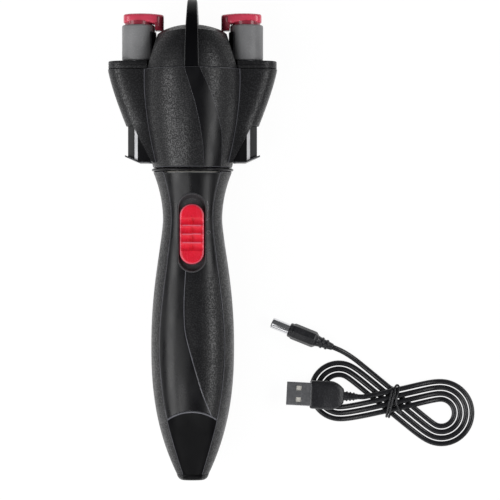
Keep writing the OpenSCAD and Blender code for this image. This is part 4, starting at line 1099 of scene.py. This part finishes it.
class BRAIDER_OT_head(bpy.types.Operator):
    """Makes the two covers of the round head body and their swept bands"""
    bl_idname = "braider.head"
    bl_label = "Head body"

    def execute(self, context):
        edge = context.scene.braider_shape.edge / MM
        y = np.linspace(BULB_Y0, DECK_Y - SEAM, 90)[:, None]
        t = np.linspace(0, 1, 121)[None, :]
        walls = []
        for r in (bulb_r(y), bulb_r(y) - COVER_WALL):
            low = np.arcsin(SEAM / 2 / r)
            a = blend(low, np.pi - low, t)
            walls.append(columns(r * np.cos(a), y, AXIS_Z + r * np.sin(a)))
        cover = slab(*walls)
        band = slab(band_grid(0.26), band_grid(0.06))
        window = block([-60, WINDOW_Y, AXIS_Z - WINDOW_HALF], [60, 106, AXIS_Z + WINDOW_HALF])
        for side, place in (("front", lambda part: part), ("rear", to_rear)):
            shell = make_piece(f"{side}_cover", [place(cover)])
            soften(shell, edge)
            apply_all(shell)
            combine(shell, [window])
            settle(shell, "etched", f"head_{side}_cover")
            stripe = make_piece(f"{side}_sweep", [place(band)])
            soften(stripe, 0.2, angle=30)
            settle(stripe, "gloss", f"{side}_band")
        return {"FINISHED"}


# ---- Pods and lids ----


def pod_w(y):
    """Reach of a pod from the long axis, narrowing to its foot by a power curve."""
    return POD_REACH - 9.2 * share(DECK_Y - y, 0, 28.5) ** 1.25


def pod_root(y, half=POD_HALF):
    """Where the pod's faces, half so far apart, meet the round body."""
    return np.sqrt((bulb_r(y) + 0.1) ** 2 - half ** 2)


def pod_section(y, s, inset, end_inset):
    """Half section of a pod: straight from its root on the body as s goes to a half, then round a
    superellipse end to the middle plane. Gives x and the height above that plane."""
    bend = MOUTH_X + pod_w(y) - pod_w(np.float64(POD_FOOT_Y))
    cx, a, b = pod_w(y) - POD_CORNER, POD_CORNER - end_inset, POD_HALF - inset
    face_x = blend(pod_root(y, b), bend, share(s, 0, 0.5))
    face_z = b * (1 - share(face_x, cx, cx + a) ** POD_POWER) ** (1 / POD_POWER)
    u = np.arccos(((bend - cx) / a) ** (POD_POWER / 2)) * (1 - share(s, 0.5, 1))
    end_x, end_z = cx + a * np.cos(u) ** (2 / POD_POWER), b * np.sin(u) ** (2 / POD_POWER)
    return np.where(s <= 0.5, face_x, end_x), np.where(s <= 0.5, face_z, end_z)


def pod_grid(inset, end_inset):
    """Columns run from the deck down to where the slanted mouth cuts them, which halving the
    stretch between foot and mouth thirty times finds."""
    s = np.concatenate([np.linspace(0, 1, 49), np.linspace(1, 0, 49)[1:]])[None, :]
    sign = np.where(np.arange(s.size) < 49, 1.0, -1.0)[None, :]
    foot_x = bulb_r(np.float64(FOOT_Y)) - 0.3
    lo, hi = np.full(s.shape, FOOT_Y), np.full(s.shape, POD_FOOT_Y)
    for _ in range(30):
        y = (lo + hi) / 2
        mouth = blend(foot_x, MOUTH_X, share(y, FOOT_Y, POD_FOOT_Y))
        inside = pod_section(y, s, inset, end_inset)[0] < mouth
        lo, hi = np.where(inside, lo, y), np.where(inside, y, hi)
    low = np.where(s > 0.5, POD_FOOT_Y, hi)
    y = blend(DECK_Y - 0.15, low, np.linspace(0, 1, 60)[:, None])
    wall = blend(0.65, POD_WALL, share(y, POD_FOOT_Y, POD_FOOT_Y + 2.5)) if end_inset else 0.0
    x, z = pod_section(y, s, inset, wall)
    return columns(x, y, AXIS_Z + sign * z)


def lid_part():
    """Lid: a superellipse end, straight sides and the arc round the clip, with a groove round it,
    rounded rims, and the bore of the clip's spindle."""
    u = np.linspace(-np.pi / 2, np.pi / 2, 60)
    cx, d, edge_x = 30.05, 9.85, 22.45
    end = np.stack([cx + POD_CORNER * np.cos(u) ** (2 / POD_POWER),
                    d * signed_pow(np.sin(u), 2 / POD_POWER)], 1)
    turn = np.radians(np.linspace(120.7, 239.3, 40))
    arc = np.stack([POST_X + 8.9 * np.cos(turn), 8.9 * np.sin(turn)], 1)
    outline = spread(np.concatenate([[[edge_x, -d]], end, [[edge_x, d]], arc]), 260, closed=True)
    normal = outward(outline)
    rings = []
    for y, inset in ((LID_Y, 0.4), (85.8, 0.08), (86.1, 0), (87.1, 0), (87.18, 0.22),
                     (87.42, 0.22), (87.5, 0), (88.9, 0), (89.2, 0.1), (89.36, 0.3),
                     (LID_TOP_Y, 0.6)):
        edge = outline - normal * inset
        rings.append(columns(edge[:, 0], y, AXIS_Z + edge[:, 1]))
    spoke = outline - [POST_X, 0]
    spoke /= np.linalg.norm(spoke, axis=1, keepdims=True)
    for y in (LID_TOP_Y, LID_Y):
        rings.append(columns(POST_X + 5.25 * spoke[:, 0], y, AXIS_Z + 5.25 * spoke[:, 1]))
    return skin(np.stack(rings), loop=True)


class BRAIDER_OT_pods(bpy.types.Operator):
    """Makes the two side pods and the lids round the clips"""
    bl_idname = "braider.pods"
    bl_label = "Pods"

    def execute(self, context):
        pod, lid = slab(pod_grid(0, 0), pod_grid(POD_WALL, POD_WALL)), lid_part()
        for side, place in SIDES.items():
            shell = make_piece(f"{side}_pod_shell", [place(pod)])
            # A light grey line along the pod's root is a painted highlight on its seam with the
            # round body.
            mark(shell, lambda x, y, z: (np.abs(x) < pod_root(y) + 0.42)
                 * (np.abs(z - AXIS_Z) > POD_HALF - 0.3), "rim")
            soften(shell, context.scene.braider_shape.edge / MM, rim=None)
            settle(shell, "etched", f"{side}_pod")
            settle(make_piece(f"{side}_clip_lid", [place(lid)]), "etched", f"{side}_lid")
        return {"FINISHED"}


# ---- Dome and separator ----

DOME_Y, DOME_H, FIN_H = 85.6, 21.2, 34.4
CLIP_WELL_R, HOOK_WELL_R, HOOK_WELL_Y = 9, 12.9, 104.0
GUARD_IN_R, GUARD_OUT_R, GUARD_Y, GUARD_TOP_Y = 8.5, 8.95, 89.5, 103.9


def bar(radius, low, high, x=0.0, sides=96):
    """Plain round bar along Y, from one height to another."""
    return lathe([[0, low], [radius, low], [radius, high], [0, high]], x, sides=sides)


def blade_half(y):
    """Half thickness of the fin, which thins with height."""
    return np.interp((y - DOME_Y) / FIN_H, [0, 0.64, 0.88, 1], [3.8, 2.99, 2.57, 2.4])


def fin_rings(grow=0.0):
    """Arch across the clips: a section that is rounded at its outer edge is carried round a
    superellipse, from its outer to its inner line, and thins with height."""
    a = np.linspace(-np.pi / 2, np.pi / 2, 121)[:, None]
    arch = lambda reach, h: np.stack([reach * signed_pow(np.sin(a), 2 / 2.2),
                                      DOME_Y + h * np.cos(a) ** (2 / 2.2)], axis=-1)
    outer, inner = arch(25.6, FIN_H + 0.6), arch(20.6, DOME_H - 5)
    outer[..., 1] = np.minimum(outer[..., 1], DOME_Y + FIN_H)
    span = np.linalg.norm(inner - outer, axis=-1)
    half = np.array([[0, 0], [0.72, 0], [0.8, 0.04], [0.92, 0.22], [0.98, 0.5], [1, 0.85]])
    x = np.concatenate([half[:, 0], np.ones(8), -np.ones(8), -half[::-1, 0][:-1]])[None, :]
    depth = np.concatenate([half[:, 1], np.zeros(16), half[::-1, 1][:-1]])[None, :] + 0 * span
    along = np.concatenate([np.zeros(6), np.linspace(0.15, 1, 8), np.linspace(1, 0.15, 8),
                            np.zeros(5)])
    w = np.where(along > 0, along, depth / span)
    z, y = np.moveaxis(outer + (inner - outer) * w[..., None], -1, 0)
    return columns(x * (blade_half(y) + grow), y, AXIS_Z + z)


def dome_rings():
    """Rings across the dome. Each runs up the front, whose depth is that of a circle which shrinks
    with height, over a chamfer and the arched crown, and down the back. The sides slant in."""
    v = np.concatenate([np.linspace(0, 0.885, 30), [0.9, 0.94, 0.975, 0.992, 1.0]])
    drop = np.interp(v, [0, 0.15, 0.3, 0.45, 0.6, 0.74, 0.885, 0.975, 1.0],
                     [0, 0.3, 0.8, 1.5, 2.4, 3.6, 5.2, 8.2, 9.4])
    crown = np.linspace(1, -1, 15)[1:-1]
    v_ring = np.concatenate([v, np.ones(crown.size), v[::-1]])[None, :]
    lean = np.concatenate([np.ones(v.size), crown, -np.ones(v.size)])[None, :]
    radius = 25.1 - np.concatenate([drop, np.full(crown.size, drop[-1]), drop[::-1]])[None, :]
    s = np.concatenate([[-1, -1], np.linspace(-1, 1, 61), [1, 1]])[:, None]
    fold = np.concatenate([[0, 0.5], np.ones(61), [0.5, 0]])[:, None]
    x = s * np.interp(v_ring, [0, 0.904, 1], [22.2, 17.1, 14.8])
    y = DOME_Y + v_ring * (DOME_H - 2.4 * s * s)
    return columns(x, y, AXIS_Z + fold * lean * np.sqrt(radius ** 2 - x ** 2))


def on_blade_rim(x, y, z):
    """Faces of the blade's rounded edges: between 90% and 98.5% of its half thickness, which get a
    lighter grey as a painted highlight.
    """
    return (np.abs(x) > 0.9 * blade_half(y)) * (np.abs(x) < 0.985 * blade_half(y))


class BRAIDER_OT_separator(bpy.types.Operator):
    """Makes the dome between the clips and the fin that parts the hair"""
    bl_idname = "braider.separator"
    bl_label = "Separator"

    def execute(self, context):
        dome = make_piece("clip_dome", [skin(dome_rings())], sharp=28)
        cuts = [skin(fin_rings(0.04)), bar(3.05, 84, 90)]
        for side in (-1, 1):
            cuts.append(bar(CLIP_WELL_R, 84, 130, side * POST_X))
            cuts.append(bar(HOOK_WELL_R, HOOK_WELL_Y, 130, side * POST_X))
        combine(dome, cuts, sharp=24)
        soften(dome, 0.22, angle=34)
        guard = lathe([[GUARD_IN_R, GUARD_Y], [GUARD_OUT_R, GUARD_Y], [GUARD_OUT_R, GUARD_TOP_Y],
                       [GUARD_IN_R, GUARD_TOP_Y]], POST_X, loop=True)
        keep = block([15, 89.0, AXIS_Z - 6], [21.5, 104.5, AXIS_Z + 6])
        for side, place in SIDES.items():
            wall = make_piece(f"{side}_post_guard", [place(guard)])
            combine(wall, [place(keep)], "INTERSECT")
            attach(wall, "satin", "top_dome")
        settle(dome, "etched", "top_dome")
        blade = make_piece("separator_blade", [skin(fin_rings())])
        # The blade's rounded edges get a lighter grey: a painted highlight.
        mark(blade, on_blade_rim, "grey")
        settle(blade, "blade", "separator_fin")
        return {"FINISHED"}


# ---- Clips ----

TUBE_Y, HOOK_Y, ROD_TOP_Y = 89.8, 108.45, 75.7


def hook_cap():
    """Cap of a hook, as sections across it: the plan is a superellipse that sets each section's
    width, the crown falls away by a parabola, and a leg hangs down at the inner end."""
    centre, reach, power = POST_X - 2.6, 10.1, 10 / 3
    share_x = np.sin(np.linspace(-np.pi / 2, np.pi / 2, 45))
    leg = POST_X - 8.35
    x = np.sort(np.concatenate([centre + reach * 0.9995 * share_x, [leg - 0.12, leg + 0.12]]))
    q = np.abs((x - centre) / reach)
    half = 6 * (1 - q ** power) ** (1 / power)
    u = (x - POST_X + 2.6) / 9.8
    shrink = 0.9 * (1 - np.sqrt(1 - share(q, 0.9, 1) ** 2))
    top = HOOK_Y + 4.9 - 0.55 * (u - 0.15) ** 2 - shrink
    low = np.where(x < leg, HOOK_Y - 3.9, HOOK_Y - 0.7 * share(leg + 2.4 - x, 0, 1.2))
    low = low + shrink * 0.6
    a = np.linspace(0, 2 * np.pi, 56, endpoint=False)[None, :]
    mid, tall = ((top + low) / 2)[:, None], ((top - low) / 2)[:, None]
    corner = np.where(x < leg, 7.0, 4.5)[:, None]
    z = AXIS_Z + half[:, None] * signed_pow(np.cos(a), 2 / 4.5)
    return skin(columns(x[:, None], mid + tall * signed_pow(np.sin(a), 2 / corner), z))


class BRAIDER_OT_clips(bpy.types.Operator):
    """Makes the clip tubes and the red hooks that lift in them"""
    bl_idname = "braider.clips"
    bl_label = "Clips"

    def execute(self, context):
        wall = [[5.2, 0.6], [7.35, 0.6], [7.35, 0], [7.85, 0], [8.25, 0.5], [8.25, 17.15],
                [7.65, 17.75], [6.9, 17.75], [6.9, 2], [5.2, 2]]
        sleeve = lathe(rounded(wall, 0.3, closed=True) + [0, TUBE_Y], POST_X, loop=True)
        guide = lathe([[0, HOOK_Y - 9], [6.4, HOOK_Y - 9], [6.85, HOOK_Y - 8.5],
                       [6.85, HOOK_Y + 1], [0, HOOK_Y + 1]], POST_X)
        stem = bar(2.2, ROD_TOP_Y + 0.2, HOOK_Y - 8, POST_X, sides=40)
        for side, place in SIDES.items():
            settle(make_piece(f"{side}_clip_sleeve", [place(sleeve)]), "clip", f"{side}_clip_tube")
            hook = make_piece(f"{side}_red_hook", [place(hook_cap())], sharp=40)
            combine(hook, [place(guide), place(stem)], "UNION", sharp=40)
            # The leg, the cap's underside and the guide get a darker copy of the hook's red:
            # painted shade.
            mark(hook, lambda x, y, z: (y < HOOK_Y + 0.05)
                 + (np.abs(x) < POST_X - 9.3) * (y < HOOK_Y + 3.2) > 0, "leg")
            settle(hook, "hook", f"{side}_hook")
        return {"FINISHED"}


# ---- Levers and the parts inside ----

HEEL_X, LEVER_TIP_X, LEVER_TOP_Y, HOOK_LIFT = 26.3, 33.7, 66.0, 6.0
FOOT_PLAN = [20, 27.85, 30.3, LEVER_TIP_X], [8.05, 8.05, 7.15, 2.95]


def clear_of_bulb(y, z):
    """Where the lever's inner side stands, clear of the body over its whole travel."""
    r = bulb_r(np.clip(y + HOOK_LIFT, BULB_Y0, BULB_WIDE_Y)) + 0.3
    return np.sqrt(r * r - z * z)


def under_lever(x):
    """Underside of the lever: level to the heel, then rising to the tip."""
    return FOOT_Y + 3.2 * share(x, HEEL_X, LEVER_TIP_X)


def lever_body():
    """Rings up the lever: a chamfered outline outside, and the clearance round the body inside."""
    half = [[27.1 - 3.0, 7.3], [27.1, 7.3], [28.8, 6.4], [32.2, 2.2]]
    outer = rounded(half + [[x, -z] for x, z in half[::-1]], 0.22, steps=3)[1:-1]
    z_in = np.linspace(-7.3, 7.3, 21)
    x = np.concatenate([outer[:, 0], np.full(21, 20.0)])[None, :]
    z = np.concatenate([outer[:, 1], z_in])[None, :]
    v = np.linspace(0, 1, 30)[:, None]
    y = blend(under_lever(x) + 0.8, LEVER_TOP_Y, v)
    inside = (np.arange(x.shape[1]) >= len(outer))[None, :]
    return skin(columns(np.where(inside, clear_of_bulb(y, z), x), y, AXIS_Z + z))


def lever_foot():
    """Plate under the lever, wider than it: a grid whose half depth follows the plate's plan, and
    whose inner border keeps clear of the round body."""
    s, z = np.linspace(0, 1, 40)[:, None], np.linspace(-1, 1, 25)[None, :]
    depth = np.interp(blend(21.5, LEVER_TIP_X, s), *FOOT_PLAN) * z
    x = blend(clear_of_bulb(np.float64(FOOT_Y), depth), LEVER_TIP_X, s)
    depth = np.interp(x, *FOOT_PLAN) * z
    return slab(*(columns(x, under_lever(x) + thick, AXIS_Z + depth) for thick in (0, 0.8)))


class BRAIDER_OT_levers(bpy.types.Operator):
    """Makes the levers that lift the hooks"""
    bl_idname = "braider.levers"
    bl_label = "Levers"

    def execute(self, context):
        for side, place in SIDES.items():
            foot = make_piece(f"{side}_lever_foot", [place(lever_foot())])
            soften(foot, 0.2)
            attach(foot, "gloss", f"{side}_lever")
            lever = make_piece(f"{side}_thumb_lever", [place(lever_body())], sharp=20)
            # The chamfer facet gets a near-white grey: a painted highlight stripe.
            mark(lever, lambda x, y, z: (np.abs(x) > 27.2) * (np.abs(x) < 28.75)
                 * (z > AXIS_Z + 6.3), "bright")
            settle(lever, "gloss", f"{side}_lever")
        return {"FINISHED"}


class BRAIDER_OT_insides(bpy.types.Operator):
    """Gives the drive, the gears and the other parts inside their finishes"""
    bl_idname = "braider.insides"
    bl_label = "Parts inside"

    def execute(self, context):
        wear = {"satin_black": "satin", "gloss_black": "gloss", "acetal": "acetal",
                "steel": "steel", "board_green": "board", "cell_wrap": "cell"}
        for node, obj in frame["nodes"].items():
            if SLOTS[node] in wear:
                for slot in obj.material_slots:
                    slot.material = finish(wear[SLOTS[node]])
        return {"FINISHED"}


# ---- Panel and start ----


class BRAIDER_PT_panel(bpy.types.Panel):
    """Lists the pieces of the braider"""
    bl_idname = "BRAIDER_PT_panel"
    bl_label = "Hair Braider"
    bl_space_type = "VIEW_3D"
    bl_region_type = "UI"
    bl_category = "Braider"

    def draw(self, context):
        scene = context.scene
        for group in (scene.braider_studio, scene.braider_colours, scene.braider_shape):
            box = self.layout.box()
            for name in group.__annotations__:
                box.prop(group, name)
        for step in STEPS:
            self.layout.operator(step.bl_idname)


STEPS = (BRAIDER_OT_stage, BRAIDER_OT_lead, BRAIDER_OT_handle, BRAIDER_OT_switch,
         BRAIDER_OT_head, BRAIDER_OT_pods, BRAIDER_OT_separator, BRAIDER_OT_clips,
         BRAIDER_OT_levers, BRAIDER_OT_insides)
GROUPS = {"braider_studio": BraiderStudio, "braider_colours": BraiderColours,
          "braider_shape": BraiderShape}


def register():
    for group in GROUPS.values():
        bpy.utils.register_class(group)
    for step in STEPS:
        bpy.utils.register_class(step)
    bpy.utils.register_class(BRAIDER_PT_panel)
    for name, group in GROUPS.items():
        setattr(bpy.types.Scene, name, PointerProperty(type=group))


def unregister():
    for name in GROUPS:
        delattr(bpy.types.Scene, name)
    bpy.utils.unregister_class(BRAIDER_PT_panel)
    for item in reversed((*GROUPS.values(), *STEPS)):
        bpy.utils.unregister_class(item)


def main():
    register()
    for step in STEPS:
        group, name = step.bl_idname.split(".")
        getattr(getattr(bpy.ops, group), name)()


if __name__ == "__main__":
    main()
